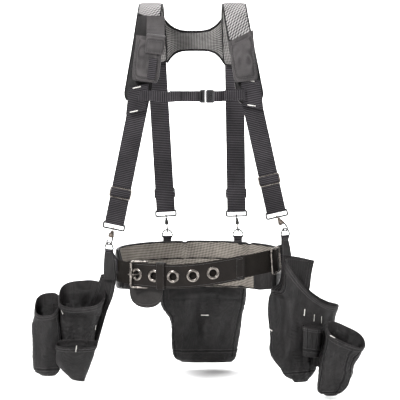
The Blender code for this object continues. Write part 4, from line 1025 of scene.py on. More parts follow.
def make_hook(place):
    """A swivel snap: eye on the loop, turned body with collars, a wire bow, a sprung gate and its knob."""
    base = hook_axes(place)
    twisted = base @ Matrix.Rotation(hook_twist(place), 4, "Z")
    body = f"hook_{place}"
    finish, bow_finish = (GUNMETAL, GUNMETAL) if place.startswith("back") else (BRONZE, GUNMETAL)
    stout = 1.0 if place.startswith("back") else 1.4
    span = HOOK_BODY_TOP - HOOK_BODY_BOTTOM
    outline = ((0.0, 1.0), (0.0030, 1.0), (0.0036, 0.95), (0.0036, 0.88), (0.0029, 0.82), (0.0037, 0.74),
               (0.0047, 0.52), (0.0053, 0.30), (0.0056, 0.14), (0.0054, 0.03), (0.0042, 0.0), (0.0, 0.0))
    rows = [[twisted @ Vector((stout * max(r, 0.0002) * cos(a), stout * max(r, 0.0002) * sin(a), HOOK_BODY_BOTTOM + span * h))
             for a in tau * np.arange(28) / 28] for r, h in outline]
    add_piece(skin(f"snap_body_{place}", rows, sharp=60), body, [finish], [f"snap_hook_{place}"])
    eye_frame = base @ Matrix.Rotation(pi / 2, 4, "Y")
    eye = placed([(HOOK_EYE * cos(a), HOOK_EYE * sin(a), 0) for a in tau * np.arange(36) / 36], eye_frame)
    add_piece(tube(f"snap_eye_{place}", eye, HOOK_EYE_WIRE * 1.25, True, 12), body, [finish])
    low = -HOOK_LENGTH + HOOK_WIRE
    arc = low + BOW_HALF_WIDTH
    bend = [(BOW_HALF_WIDTH * cos(a), 0, arc + BOW_HALF_WIDTH * sin(a)) for a in -pi * np.arange(13) / 12]
    path = [(0.0030, 0, HOOK_BODY_BOTTOM + 0.005), (BOW_HALF_WIDTH - 0.0012, 0, HOOK_BODY_BOTTOM - 0.001),
            (BOW_HALF_WIDTH, 0, arc + 0.004), *bend, (-BOW_HALF_WIDTH + 0.0006, 0, arc + 0.0030)]
    path = placed(even(curve_through(path, 4), 0.0008), twisted)
    radii = np.full(len(path), HOOK_WIRE)
    radii[-4:] = HOOK_WIRE * np.linspace(1, 0.7, 4)
    add_piece(tube(f"snap_bow_{place}", path, radii, sides=14), body, [bow_finish])

    pivot = Vector((-0.0040, 0, HOOK_BODY_BOTTOM - GATE_WIRE - 0.0004))
    tip = Vector((-BOW_HALF_WIDTH + 0.0036, 0, arc + 0.0006))
    gate = [tuple(twisted @ pivot.lerp(tip, t)) for t in np.linspace(0, 1, 10)]
    add_piece(tube(f"gate_rod_{place}", gate, GATE_WIRE, sides=12), f"gate_{place}", [STEEL],
              [f"snap_gate_{place}"])
    knob = [(-0.0046, 0, HOOK_BODY_BOTTOM + 0.0085), (-0.0070, 0, HOOK_BODY_BOTTOM + 0.0088),
            (-0.0076, 0, HOOK_BODY_BOTTOM + 0.0089), (-0.0088, 0, HOOK_BODY_BOTTOM + 0.0090)]
    add_piece(tube(f"snap_knob_{place}", placed(knob, twisted), [0.0011, 0.0011, 0.0021, 0.0017], sides=14),
              body, [finish])


def tab_edge(angle, height, away):
    """The left and right ends of a tab's edge that lies this far outside the belt's webbing."""
    inset = WEBBING_INSET - WEBBING_THICKNESS / 2 - away
    ends = [oval(angle_along(angle, side * TAB_WIDTH / 2), inset) + UP * height for side in (-1, 1)]
    return sorted(ends, key=lambda end: end.x) if sin(angle) > 0 else ends


def make_ring(place):
    _, facing, tab_bottom, sewn_at = RINGS[place]
    base = axes(ring_top(place) - UP * RING_HEIGHT, UP.cross(Vector(facing)), UP)
    half = RING_WIDTH / 2
    bow = [(half * cos(a), 0, 0.0045 + (RING_HEIGHT - 0.0045) * sin(a)) for a in pi - pi * np.arange(25) / 24]
    points = even(placed([(half - 0.002, 0, 0), (-half + 0.002, 0, 0), *bow], base), 0.0012, True)
    body = f"ring_{place}"
    add_piece(tube(f"d_ring_wire_{place}", points, RING_WIRE * 1.25, True, 14), body, [GUNMETAL],
              [f"d_ring_{place}"])

    turn = RING_WIRE + GAP + FOLD_THICKNESS / 2
    middles = [(turn, -0.004)]
    middles += [(turn * cos(a), turn * sin(a)) for a in pi * np.arange(13) / 12]
    middles.append((-turn, -0.004))
    stations = [[base @ Vector((x, y, z)) for x in (-TAB_WIDTH / 2, TAB_WIDTH / 2)] for y, z in middles]
    knee = belt_height(oval(sewn_at)) + WEBBING_WIDTH / 2
    for height in (knee, tab_bottom):
        stations.insert(0, tab_edge(sewn_at, height, TAB_CLEARANCE + FOLD_THICKNESS * 0.5))
        stations.append(tab_edge(sewn_at, height, TAB_CLEARANCE + FOLD_THICKNESS * 1.7))
    line = even([[*left, *right] for left, right in stations], 0.0016)
    grid = np.array([[row[:3] + (row[3:] - row[:3]) * share for share in np.linspace(0, 1, 7)] for row in line])
    add_piece(thick(f"ring_tab_webbing_{place}", grid, FOLD_THICKNESS), "root", [WEBBING],
              [f"ring_tab_{place}"])
    foot = np.array([oval(sewn_at)[0], oval(sewn_at)[1], 0])
    outward = unit(foot)
    last = grid[-1]
    for rise in (0.004, 0.007):
        sew("root", last[1:-1] + UP_ARRAY * rise + outward * 0.0011, outward)



# ---------------------------------------------------------------- yoke

def make_shoulder_pad(name):
    """A foam pad: black nylon down the front, bright mesh over the crest and darker mesh behind."""
    line, front_width, back_width = SHOULDERS[name]
    path = even(curve_through(line, 12), 0.0035)
    rows, columns = len(path), 21
    grid = []
    for index, (point, along) in enumerate(zip(path, directions(path))):
        across = unit(np.array((1.0, 0, 0)) - along * along[0])
        share = index / (rows - 1)
        width = back_width - 0.003 + (front_width - back_width) * max(1 - 3 * share, 0)
        width -= 0.016 * max(1 - index / 6, 0) ** 2 + 0.012 * max(1 - (rows - 1 - index) / 4, 0) ** 2
        grid.append([point + across * width * side for side in np.linspace(-0.5, 0.5, columns)])
    grid = np.array(grid)
    shape = padding(rows, columns, 5, 5, 0.40)
    for i in range(rows):
        for j in range(columns):
            shape[i, j] *= 1 + 0.10 * noise.noise(Vector(grid[i, j]) * 34)
    crest_start = int(np.argmax(grid[:, 10, 2] > CREST_HEIGHTS[name]))
    crest_end = rows - 1 - int(np.argmax(grid[::-1, 10, 2] > 0.600))

    def material_of(i, j):
        if j > columns:
            return 2
        return 1 if crest_start <= i < crest_end else 0

    def outward(points):
        return points - np.array((points[..., 0].mean(), 0, 0.50)) * np.ones_like(points)

    pad = thick(f"{name}_cushion", grid, YOKE_THICKNESS, outward, shape, material_of)
    add_piece(pad, "root", [NYLON, CREST, YOKE_MESH], [name])
    binding(f"{name}_binding", grid, "root", 0.0048, 0.0040, TAPE, outward)
    normals = grid_normals(grid, outward)
    lines = grid + normals * (YOKE_THICKNESS * 0.36)
    strip = np.array([lines[k, 1:-1] + normals[k, 1:-1] * 0.0008 for k in (crest_start - 1, crest_start + 1)])
    seam = thick(f"{name}_seam_tape", np.array([strip[0], strip.mean(0) + normals[crest_start, 1:-1] * 0.0004,
                                                strip[1]]), 0.0012, outward)
    add_piece(seam, "root", [TAPE])
    for column in (3, columns - 4):
        sew("root", lines[3:crest_start - 2, column], normals[3:crest_start - 2, column])


def yoke_depth(height):
    """How far back the yoke lies at a height, on the curve of the wearer's shoulders."""
    return 0.090 - 0.45 * max(height - 0.580, 0) ** 1.2


def make_bridge():
    (left_low, left_high), (right_low, right_high) = BRIDGE_ENDS
    rows, columns = 61, 17
    grid = []
    for share in np.linspace(0, 1, rows):
        from_middle = abs(2 * share - 1)
        top = BRIDGE_TOP + 0.033 * from_middle ** 3.2
        bottom = BRIDGE_BOTTOM - 0.034 * from_middle ** 4
        low_x = left_low + (right_low - left_low) * share
        high_x = left_high + (right_high - left_high) * share
        grid.append([(low_x + (high_x - low_x) * up, yoke_depth(bottom + (top - bottom) * up),
                      bottom + (top - bottom) * up) for up in np.linspace(0, 1, columns)])
    grid = np.array(grid)
    shape = padding(rows, columns, 1, 5, 0.45)
    pad = thick("yoke_bridge_cushion", grid, YOKE_THICKNESS, shape=shape,
                material_of=lambda i, j: 0 if j <= columns else 1)
    add_piece(pad, "root", [NYLON, YOKE_MESH], ["yoke_bridge"])
    for name, column in (("top", -1), ("bottom", 0)):
        edge = even(grid[:, column], 0.004)
        add_piece(tube(f"yoke_bridge_{name}_binding", edge, 0.0040, sides=12), "root", [TAPE])


def pocket_rows(size, matrix, top_slope=0.0, sag=0.0, hem=0.010):
    """Outer rings of an upright pocket from its mouth down, softly bulged at the front."""
    width, depth, height = size
    rows, sides = 34, 64
    outer = []
    for share in np.linspace(0, 1, rows):
        shrink = 1 - 0.10 * max(share - 0.88, 0) / 0.12
        bulge = 1 + 0.10 * sin(pi * min(share * 1.1, 1))
        ring = []
        for turn in tau * np.arange(sides) / sides:
            x = width / 2 * shrink * signed_power(cos(turn), 0.42)
            y = depth / 2 * signed_power(sin(turn), 0.55) * (bulge if sin(turn) < 0 else 1) * shrink
            top = height / 2 + top_slope * x - sag * (1 - (2 * x / width) ** 2) * (sin(turn) < 0)
            z = top + (-height / 2 - top) * share
            crease = 0.0010 * noise.noise(Vector((x * 60, y * 40, z * 40))) * sin(pi * share)
            lip = 0.0007 if share * height < hem else 0.0
            ring.append((x * (1 + (crease + lip) / (width / 2)), y * (1 + (crease + lip) * 2 / depth), z))
        outer.append(placed(ring, matrix))
    return np.array(outer)


def signed_power(value, power):
    return abs(value) ** power * (1 if value >= 0 else -1)


def shell_from(name, outer, wall, material_of=None):
    """A closed thin shell from its outer rings, the mouth first."""
    centre = outer.mean(axis=1, keepdims=True)
    inward = unit(centre - outer)
    inner = outer[:-1] + inward[:-1] * wall
    rim = (outer[0] + inner[0]) / 2
    rim = rim + unit(outer[0] - outer[3]) * wall * 0.35
    below = np.concatenate([centre[-1:] + (outer[-1:] - centre[-1:]) * f + (outer[-1:] - outer[-2:-1]) * g
                            for f, g in ((0.88, 0.45), (0.55, 0.65), (0.12, 0.70))])
    closing = np.concatenate([centre[-2:-1] + (inner[-1:] - centre[-2:-1]) * f for f in (0.12, 0.6)])
    rows = np.concatenate([closing, inner[::-1], rim[None], outer, below])
    return skin(name, rows, material_of=material_of, sharp=70)


def make_shoulder_pouches():
    phone = Matrix.Translation(PHONE_CENTRE) @ Matrix.Rotation(PHONE_LEAN, 4, "Y")
    outer = pocket_rows(PHONE_SIZE, phone)
    add_piece(shell_from("phone_pouch_body", outer, 0.0016), "root", [POCKET], ["phone_pouch"])
    front = np.array(phone.to_3x3() @ Vector((0, -1, 0)))
    width, depth, height = PHONE_SIZE
    for inset in (0.004, 0.0075):
        line = [(x, -depth / 2 - 0.0012 - 0.0008 * (abs(z) < 0.04), z) for x, z in
                [(-width / 2 + inset, height / 2 - 0.012), (-width / 2 + inset, -height / 2 + inset),
                 (width / 2 - inset, -height / 2 + inset), (width / 2 - inset, height / 2 - 0.012)]]
        sew("root", even(placed(line, phone), 0.003), front)
    strap = [(0.015, -depth / 2 - 0.0030, z) for z in np.linspace(-0.048, 0.004, 14)]
    strap = np.array([placed([(x + side, y, z) for side in np.linspace(-0.0095, 0.0095, 7)], phone)
                      for x, y, z in strap])
    add_piece(thick("phone_pouch_strap", strap, 0.0016), "root", [WEBBING])

    seat = phone @ Matrix.Translation((0.015, depth / 2 + 0.001, height / 2 + 0.0060))
    reach = depth + 0.0060
    middles = [(0, 0), (-reach * 0.35, 0.0010), (-reach + 0.004, -0.0004), (-reach - 0.0008, -0.006),
               (-reach - 0.0018, -FLAP_DROP * 0.6), (-reach - 0.0012, -FLAP_DROP)]
    line = even(curve_through(middles, 8), 0.0015)
    rows = len(line)
    widths = FLAP_WIDTH / 2 * np.array([1 - 0.10 * max(1 - (rows - 1 - k) / 4, 0) ** 2 for k in range(rows)])
    grid = np.array([placed([(w * side, y, z) for side in np.linspace(-1, 1, 15)], seat)
                     for (y, z), w in zip(line, widths)])

    def near(points):
        return np.broadcast_to(front + UP_ARRAY, points.shape)

    flap = thick("phone_flap_cloth", grid, FLAP_THICKNESS, near, padding(rows, 15, 2, 2, 0.6))
    add_piece(flap, "phone_flap", [POCKET], ["phone_flap"])
    normals = grid_normals(grid, near)
    lifted = grid + normals * (FLAP_THICKNESS / 2 + 0.0002)
    tail = slice(rows - 22, rows - 2)
    box_edge, box_normals = border(lifted[tail, 2:-2]), border(normals[tail, 2:-2])
    sew("phone_flap", box_edge, box_normals, closed=True)
    sewn = [[(x, y, z) for x in np.linspace(-0.1285, -0.0845, 11)] for y, z in
            curve_through([(-0.0985, 0.604), (-0.0800, 0.620), (-0.0660, 0.638), (-0.0585, 0.654)], 8)]
    add_piece(thick("phone_strap_top", sewn, 0.0022, near), "root", [POCKET])

    pocket = Matrix.Translation(POCKET_CENTRE) @ Matrix.Rotation(-PHONE_LEAN, 4, "Y")
    width, depth, height = POCKET_SIZE
    outer = pocket_rows(POCKET_SIZE, pocket, 0.35, hem=0.012)
    add_piece(shell_from("shoulder_pocket_body", outer, 0.0016), "root", [POCKET], ["shoulder_pocket"])
    front = np.array(pocket.to_3x3() @ Vector((0, -1, 0)))
    for inset in (0.004, 0.008):
        line = [(-width / 2 + inset, height / 2 - 0.020), (-width / 2 + inset, -height / 2 + inset),
                (width / 2 - inset, -height / 2 + inset), (width / 2 - inset, height / 2 - 0.002)]
        path = placed([(x, -depth / 2 - 0.0010, z) for x, z in line], pocket)
        sew("root", even(path, 0.003), front)
    for drop in (0.005, 0.012):
        line = [(x, -depth / 2 - 0.0014, height / 2 + 0.35 * x - drop)
                for x in np.linspace(-width / 2 + 0.003, width / 2 - 0.003, 20)]
        sew("root", placed(line, pocket), front)


def make_strap_anchors():
    """Cloth patches on the pads' lower ends, where the front straps are sewn on, with their tacks."""
    patches = {
        "left": ((-0.1475, -0.1015, 0.482), (-0.1530, -0.0975, 0.445), (-0.1570, -0.0890, 0.413)),
        "right": ((0.1305, -0.1015, 0.498), (0.1355, -0.0975, 0.460), (0.1400, -0.0890, 0.426)),
    }
    for side, line in patches.items():
        path = curve_through(line, 8)
        lean = 0.005 if side == "left" else -0.004
        grid = np.array([[(x + across, y - 0.0012 * cos(pi * across / 0.052), z + lean * across / 0.024)
                          for across in np.linspace(-0.0245, 0.0245, 11)] for x, y, z in path])
        patch = thick(f"strap_anchor_{side}", grid, 0.0022, shape=padding(len(grid), 11, 1, 1, 0.7))
        add_piece(patch, "root", [WEBBING])
        for row in (2, -3):
            sew("root", grid[row, 1:-1] + np.array((0, -0.0013, 0)), (0, -1, 0.1))
        top, low = grid[1], grid[-2]
        for row, first, last in ((top, 2, 6) if side == "left" else (top, 3, 7), (low, 2, 6)):
            lift = np.array((0, -0.0022, 0))
            tack("root", row[first] + lift, row[last] + lift, (0, -1, 0.1), 0.0036)


# ---------------------------------------------------------------- sternum strap

def make_sternum():
    half = STERNUM_WIDTH / 2
    height = STERNUM_HEIGHT
    behind = CLIP_Y + 0.0050
    lines = {
        "sternum_strap_left": ((-0.152, -0.1010, height), (-0.118, -0.1030, height + 0.001),
                               (-0.080, -0.1130, height - 0.002), (-0.045, behind, height),
                               (0.004, behind, height)),
        "sternum_strap_right": ((0.1180, -0.1010, height + 0.006), (0.090, -0.1030, height + 0.004),
                                (0.066, -0.1100, height + 0.001), (0.0404, CLIP_Y, height)),
    }
    for name, line in lines.items():
        path = even(curve_through(line, 14), 0.0016)
        grid = np.array([[(x, y - 0.0008 * sin(x * 260), z + half * up) for up in np.linspace(-1, 1, 9)]
                         for x, y, z in path])
        band = thick(f"{name}_webbing", grid, 0.0020, shape=ribs(len(grid), 9, 0.0016, 0.0048, 0.2))
        add_piece(band, "root", [WEBBING], [name])
    layers = (("sternum_loop_left", -0.070, -0.043, -0.1145, -0.1165, 0.0),
              ("sternum_loop_middle", -0.018, 0.004, -0.1140, -0.1140, 0.0),
              ("sternum_loop_right", 0.0395, 0.057, -0.1185, -0.1140, 0.0),
              ("sternum_patch_right", 0.064, 0.118, -0.1135, -0.1040, 0.003))
    for name, x_start, x_end, y_start, y_end, rise in layers:
        grid = []
        for share in np.linspace(0, 1, 24):
            swell = 0.0032 * sin(pi * share) ** 0.6
            x = x_start + (x_end - x_start) * share
            y = y_start + (y_end - y_start) * share - swell * (0.5 if "patch" in name else 1)
            grid.append([(x, y, height + rise * (0.4 + share) + half * up) for up in np.linspace(-1.03, 1.03, 9)])
        grid = np.array(grid)
        holder = "sternum_clip" if name == "sternum_loop_middle" else "root"
        add_piece(thick(name, grid, 0.0020, shape=ribs(24, 9, 0.0020, 0.0048, 0.25)), holder, [WEBBING])
        if "patch" in name:
            edge = grid + np.array((0, -0.0014, 0))
            sew("root", border(edge[2:-2, 1:-1]), (0, -1, 0), closed=True)

    middle = Vector((CLIP_X, CLIP_Y, height))
    wide, depth = 2 * CLIP_HALF_HEIGHT, 2 * CLIP_HALF_THICKNESS
    socket = moulded("sternum_socket_block", (0.020, depth, wide), Matrix.Translation(middle + Vector((0.010, 0, 0))),
                     0.0024)
    add_piece(socket, "root", [PLASTIC], ["sternum_socket"])
    gap = 0.0008
    clip_middle = middle - Vector((0.0075 + gap, 0, 0))
    clip = moulded("sternum_clip_block", (0.015, depth - 0.0025, wide), Matrix.Translation(clip_middle), 0.0022)
    window = moulded("clip_window", (0.0040, 0.03, wide - 0.010),
                     Matrix.Translation(middle - Vector((0.0115, 0, 0))), 0.0012)
    add_piece(cut(clip, window), "sternum_clip", [PLASTIC], ["sternum_clip"])
    # A pale ridge on the clip's front: painted highlight where light shows between clip and socket.
    ridge = moulded("sternum_clip_highlight_ridge", (0.0032, 0.0020, wide - 0.004),
                    Matrix.Translation(middle + Vector((-0.0020, -depth / 2 + 0.0008, 0))), 0.0007)
    add_piece(ridge, "sternum_clip", [HIGHLIGHT_PLASTIC])
    for number, x in enumerate((0.006, 0.0095, 0.013)):
        rib = moulded(f"sternum_socket_rib_{number + 1}", (0.0016, 0.0014, wide - 0.010),
                      Matrix.Translation(middle + Vector((x, -depth / 2 - 0.0001, 0))), 0.0005)
        add_piece(rib, "root", [PLASTIC])
    behind_clip = [[(x, CLIP_Y + 0.0046, height + half * up) for up in np.linspace(-1, 1, 9)]
                   for x in np.linspace(0.002, 0.018, 8)]
    add_piece(thick("sternum_webbing_end", behind_clip, 0.0016), "root", [WEBBING])


# ---------------------------------------------------------------- pouches

SIDES = 112


def pouch_outline(name):
    """Dense rings of a pouch's outer surface, its mouth first, with soft folds."""
    turn, dip = TURNS.get(name, 0), MOUTH_DIPS.get(name, 0)
    knots = []
    angles = tau * np.arange(SIDES) / SIDES
    for x, y, z, half_width, half_depth, slope, pitch in POUCHES[name]:
        share = np.sign(np.cos(angles)) * np.abs(np.cos(angles)) ** SQUARENESS
        across = half_width * share
        back = half_depth * np.sign(np.sin(angles)) * np.abs(np.sin(angles)) ** SQUARENESS
        drop = dip * (1 - share * share)
        knots.append(np.stack([x + across, y + back + turn * across, z + slope * across + pitch * back - drop], -1))
        dip = 0
    dense = curve_through(knots, 16)
    lengths = np.concatenate([[0], np.cumsum(np.linalg.norm(np.diff(dense, axis=0), axis=2).mean(1))])
    count = int(lengths[-1] / 0.0022)
    marks = np.linspace(0, lengths[-1], count)
    flat = dense.reshape(len(dense), -1)
    rows = np.stack([np.interp(marks, lengths, flat[:, k]) for k in range(flat.shape[1])], -1)
    return rows.reshape(count, SIDES, 3), marks


def fold_outline(name, rows, marks, amount, hem, offset):
    """Push the cloth in and out: broad slack, upright folds and sharper diagonal creases."""
    centre = rows.mean(axis=1, keepdims=True)
    outward = unit(rows - centre)
    length = marks[-1]
    moved = rows.copy()
    for i, mark in enumerate(marks):
        slack = smoothstep((mark - hem) / 0.030) * smoothstep((length - mark) / 0.012 + 0.15)
        for j in range(SIDES):
            x, y, z = rows[i, j]
            broad = noise.noise(Vector((x * 14 + offset, y * 14, z * 9)))
            upright = noise.noise(Vector((x * 42 + offset, y * 42, z * 8)))
            slanted = noise.noise(Vector(((x + z) * 30, y * 20 + offset, (x - z) * 75)))
            crease = max(0.0, 1 - 5 * abs(slanted)) ** 2
            push = amount * slack * (1.5 * broad + 1.3 * upright - 0.3 * crease)
            ripple = amount * 0.30 * noise.noise(Vector((x * 30, y * 30, offset))) * (1 - slack)
            moved[i, j] += outward[i, j] * (push + ripple)
        if mark < hem:
            moved[i] += outward[i] * 0.0011
    return moved, outward


def make_pouch(name, body, amount=0.0032, hem=0.014, band_at=0.80, tape_mouth=False):
    rows, marks = pouch_outline(name)
    outer, outward = fold_outline(name, rows, marks, amount, hem, 3.7 * len(name))
    hem_rows = int(np.searchsorted(marks, hem))
    total = len(outer)
    inner_count = total - 1 + 2

    def material_of(i, j):
        from_mouth = i - inner_count
        return 1 if -hem_rows <= from_mouth <= hem_rows else 0

    add_piece(shell_from(f"{name}_cloth", outer, WALL, material_of), body, [NYLON, HEM], [name])
    for distance in (hem * 0.28, hem * 0.82):
        row = int(np.searchsorted(marks, distance))
        sew(body, outer[row] + outward[row] * 0.0002, outward[row], closed=True)
    if band_at:
        row = int(total * band_at)
        add_piece(tube(f"{name}_band_seam", even(outer[row], 0.004, True), 0.0010, True, 8), body, [TAPE])
        for side in (-2, 2):
            sew(body, outer[row + side] + outward[row + side] * 0.0003, outward[row + side], closed=True)
    return outer, outward, marks


def seam_down(name, body, outer, outward, angle, start=0.04, end=0.92, radius=0.0012, drift=0):
    """A piped seam that runs down a pouch."""
    rows = np.arange(int(start * len(outer)), int(end * len(outer)))
    columns = [(int(angle / 360 * SIDES) + int(round(drift * k / len(rows)))) % SIDES for k in range(len(rows))]
    line, normals = outer[rows, columns], outward[rows, columns]
    add_piece(tube(name, even(line, 0.003), radius, sides=8), body, [TAPE])
    for side in (-2, 2):
        beside = [(column + side) % SIDES for column in columns]
        sew(body, outer[rows, beside] + outward[rows, beside] * 0.0003, normals)


def tack_near(body, outer, outward, x, z, upright=False, length=0.012, lean=0.0):
    """A white tack on the side of a pouch that faces the viewer, nearest to this place."""
    points, normals = outer.reshape(-1, 3), outward.reshape(-1, 3)
    far = np.hypot(points[:, 0] - x, points[:, 2] - z) + 0.05 * (normals[:, 1] > -0.15)
    index = int(np.argmin(far))
    point, normal = points[index], normals[index]
    across = unit(np.cross(UP_ARRAY, normal))
    along = unit(UP_ARRAY + across * lean) if upright else unit(across + UP_ARRAY * lean)
    lift = normal * 0.0026
    tack(body, point - along * length / 2 + lift, point + along * length / 2 + lift, normal)


def hanging_panel(name, body, stations, material):
    grid = curve_through([[np.asarray(point, float) for point in station] for station in stations], 10)
    grid = np.array([even(row, np.linalg.norm(row[-1] - row[0]) / 12) for row in grid])
    shares = padding(len(grid), grid.shape[1], 2, 2, 0.7)
    add_piece(thick(name, grid, 0.0032, shape=shares), body, [material])
    normals = grid_normals(grid, away_from_axis)
    lifted = grid + normals * 0.0018
    sew(body, border(lifted, 1), border(normals, 1), closed=True)
    sew(body, border(lifted, 2), border(normals, 2), closed=True)


def make_left_bag():
    outer, outward, _ = make_pouch("left_main_pouch", "left_bag", 0.0058, 0.020, 0.86)
    seam_down("left_main_side_seam", "left_bag", outer, outward, 352, 0.09, 0.95)
    tack_near("left_bag", outer, outward, -0.267, -0.141, True, 0.014, 0.35)
    tack_near("left_bag", outer, outward, -0.346, -0.098, False, 0.011, -0.9)
    outer, outward, _ = make_pouch("left_lower_pocket", "left_bag", 0.0022, 0.012, None)
    tack_near("left_bag", outer, outward, -0.3125, -0.158, True, 0.016, 0.15)
    outer, outward, _ = make_pouch("left_tube_pocket", "left_bag", 0.0048, 0.016, 0.88)
    seam_down("left_tube_side_seam", "left_bag", outer, outward, 330, 0.07, 0.95)
    hanging_panel("left_hanger_panel", "left_bag", (
        ((-0.250, -0.0440, -0.006), (-0.2310, -0.0450, -0.006), (-0.2110, -0.0450, -0.006)),
        ((-0.268, -0.0300, -0.060), (-0.246, -0.0400, -0.060), (-0.2195, -0.0450, -0.060)),
        ((-0.288, -0.0060, -0.110), (-0.262, -0.0290, -0.110), (-0.2380, -0.0450, -0.110)),
        ((-0.300, -0.0080, -0.200), (-0.280, -0.0290, -0.200), (-0.2640, -0.0450, -0.200)),
    ), NYLON)
    hanging_panel("left_joining_panel", "left_bag", (
        ((-0.378, -0.0300, -0.085), (-0.357, -0.0300, -0.085), (-0.336, -0.0300, -0.085)),
        ((-0.378, -0.0300, -0.160), (-0.357, -0.0300, -0.160), (-0.336, -0.0300, -0.160)),
        ((-0.372, -0.0300, -0.240), (-0.355, -0.0300, -0.240), (-0.338, -0.0300, -0.240)),
    ), NYLON)


def make_right_bag():
    outer, outward, _ = make_pouch("right_main_pouch", "right_bag", 0.0062, 0.016, 0.86)
    seam_down("right_main_side_seam", "right_bag", outer, outward, 200, 0.07, 0.95)
    tack_near("right_bag", outer, outward, 0.186, -0.135, False, 0.010, -0.3)
    for x, z in ((0.2727, -0.0955), (0.2927, -0.1069), (0.3128, -0.1131)):
        tack_near("right_bag", outer, outward, x, z, True, 0.017, 0.10)
    outer, outward, _ = make_pouch("right_tool_slots", "right_bag", 0.0010, 0.010, 0.78)
    for number, angle in enumerate((246, 294)):
        seam_down(f"tool_slot_seam_{number + 1}", "right_bag", outer, outward, angle, 0.03, 0.80, 0.0009)
    outer, outward, _ = make_pouch("right_small_pouch", "right_bag", 0.0050, 0.014, 0.90)
    tack_near("right_bag", outer, outward, 0.347, -0.131, False, 0.016, -0.25)
    for name, angle, drift in (("front", 286, 3), ("side", 318, 2), ("left", 212, 0)):
        seam_down(f"right_small_{name}_piping", "right_bag", outer, outward, angle, 0.07, 0.96, 0.0014, drift)
    hanging_panel("right_hanger_panel", "right_bag", (
        ((0.2160, -0.0640, 0.049), (0.262, -0.0535, 0.040), (0.3000, -0.0440, 0.030)),
        ((0.2130, -0.0640, 0.002), (0.255, -0.0560, 0.000), (0.2930, -0.0470, -0.002)),
        ((0.2080, -0.0640, -0.026), (0.248, -0.0580, -0.030), (0.2890, -0.0510, -0.034)),
        ((0.1880, -0.0655, -0.050), (0.238, -0.0590, -0.050), (0.2870, -0.0520, -0.050)),
        ((0.2380, -0.0715, -0.110), (0.262, -0.0625, -0.110), (0.2860, -0.0530, -0.110)),
    ), HEM)
    hanging_panel("right_joining_panel", "right_bag", (
        ((0.2960, -0.0900, -0.135), (0.3220, -0.1060, -0.140), (0.3480, -0.1220, -0.145)),
        ((0.2940, -0.0920, -0.185), (0.3190, -0.1070, -0.187), (0.3440, -0.1220, -0.190)),
        ((0.2880, -0.0940, -0.235), (0.3130, -0.1080, -0.236), (0.3400, -0.1220, -0.237)),
    ), NYLON)


def make_centre_bag():
    outer, outward, _ = make_pouch("centre_pouch", "centre_bag", 0.0078, 0.018, 0.84)
    tack_near("centre_bag", outer, outward, 0.016, -0.1562, False, 0.021)
    for angle in (205, 335):
        seam_down(f"centre_side_seam_{angle}", "centre_bag", outer, outward, angle, 0.07, 0.92)
    wall = POUCHES["centre_pouch"][0][1] - POUCHES["centre_pouch"][0][4] + WALL / 2
    columns = [-0.080 + 0.196 * step / 8 for step in range(9)]
    top = [(x, -oval(angle_at_x(x), PAD_INSET - PAD_THICKNESS / 2 - 0.003).y, -0.036) for x in columns]
    hanging_panel("centre_hanger_panel", "centre_bag", (
        top, [(x, wall, -0.056) for x in columns], [(x, wall, -0.110) for x in columns]), NYLON)


# ---------------------------------------------------------------- stage, light and camera

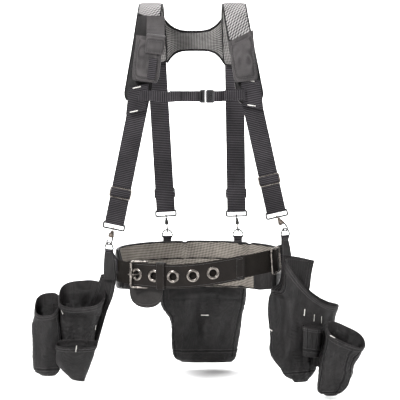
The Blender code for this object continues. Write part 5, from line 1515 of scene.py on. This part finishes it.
def make_stage():
    profile = [(-6.5, -0.312), (4.2, -0.312)]
    profile += [(4.2 + 1.2 * sin(a), -0.312 + 1.2 * (1 - cos(a))) for a in np.radians(np.arange(6, 91, 6))]
    profile.append((5.4, 6.0))
    points = [(x, y, z) for y, z in profile for x in (-8.0, 8.0)]
    faces = [(2 * k, 2 * k + 1, 2 * k + 3, 2 * k + 2) for k in range(len(profile) - 1)]
    mesh = bpy.data.meshes.new("studio_floor")
    mesh.from_pydata(points, [], faces)
    mesh.shade_smooth()
    floor = bpy.data.objects.new("studio_floor", mesh)
    material, nodes, links, shader = shader_nodes("studio_white", 0.9)
    place = nodes.new("ShaderNodeTexCoord").outputs["Object"]
    cloud = noise_value(nodes, links, place, 2.0)
    links.new(colour_ramp(nodes, links, cloud, ((0.3, (0.93, 0.93, 0.93)), (0.7, (0.96, 0.96, 0.96)))),
              shader.inputs["Base Color"])
    mesh.materials.append(material)
    bpy.context.scene.collection.objects.link(floor)


def make_light(name, place, target, size, power):
    light = bpy.data.lights.new(name, "AREA")
    light.shape = "RECTANGLE"
    light.size, light.size_y = size
    light.energy = power
    obj = bpy.data.objects.new(name, light)
    obj.location = place
    obj.rotation_euler = (Vector(target) - Vector(place)).to_track_quat("-Z", "Y").to_euler()
    bpy.context.scene.collection.objects.link(obj)


def make_view():
    world = bpy.data.worlds.new("studio")
    world.use_nodes = True
    background = world.node_tree.nodes["Background"]
    background.inputs["Color"].default_value = (1, 1, 1, 1)
    background.inputs["Strength"].default_value = 0.25
    bpy.context.scene.world = world
    middle = (0.0, 0.0, 0.18)
    make_light("key", (-1.5, -2.1, 2.0), middle, (0.6, 0.6), 150)
    make_light("fill", (2.2, -1.8, 1.0), middle, (0.6, 1.8), 40)
    make_light("top", (0.1, 0.5, 2.6), middle, (2.4, 1.6), 60)
    make_light("backdrop", (0.0, 2.8, 2.8), (0.0, 4.4, 0.0), (5.0, 2.0), 420)
    bpy.context.scene.view_settings.view_transform = "Standard"
    camera = bpy.data.cameras.new("camera")
    camera.lens = 124.6
    camera.sensor_width = 36
    obj = bpy.data.objects.new("camera", camera)
    target, distance, elevation = Vector((0.005, 0, 0.182)), 3.6, radians(6)
    obj.location = target + Vector((0, -cos(elevation), sin(elevation))) * distance
    obj.rotation_euler = (target - obj.location).to_track_quat("-Z", "Y").to_euler()
    bpy.context.scene.collection.objects.link(obj)
    bpy.context.scene.camera = obj


make_back_pad()
make_belt()
make_grommets()
make_buckle()
make_buckle_webbing()
make_keeper()
make_guard()
make_slide()
make_belt_loops()
for each_place in PLACES:
    make_strap(each_place)
    make_hook(each_place)
    make_ring(each_place)
for pad_name in SHOULDERS:
    make_shoulder_pad(pad_name)
make_bridge()
make_shoulder_pouches()
make_strap_anchors()
make_sternum()
make_left_bag()
make_right_bag()
make_centre_bag()
make_stitching()
make_stage()
make_view()
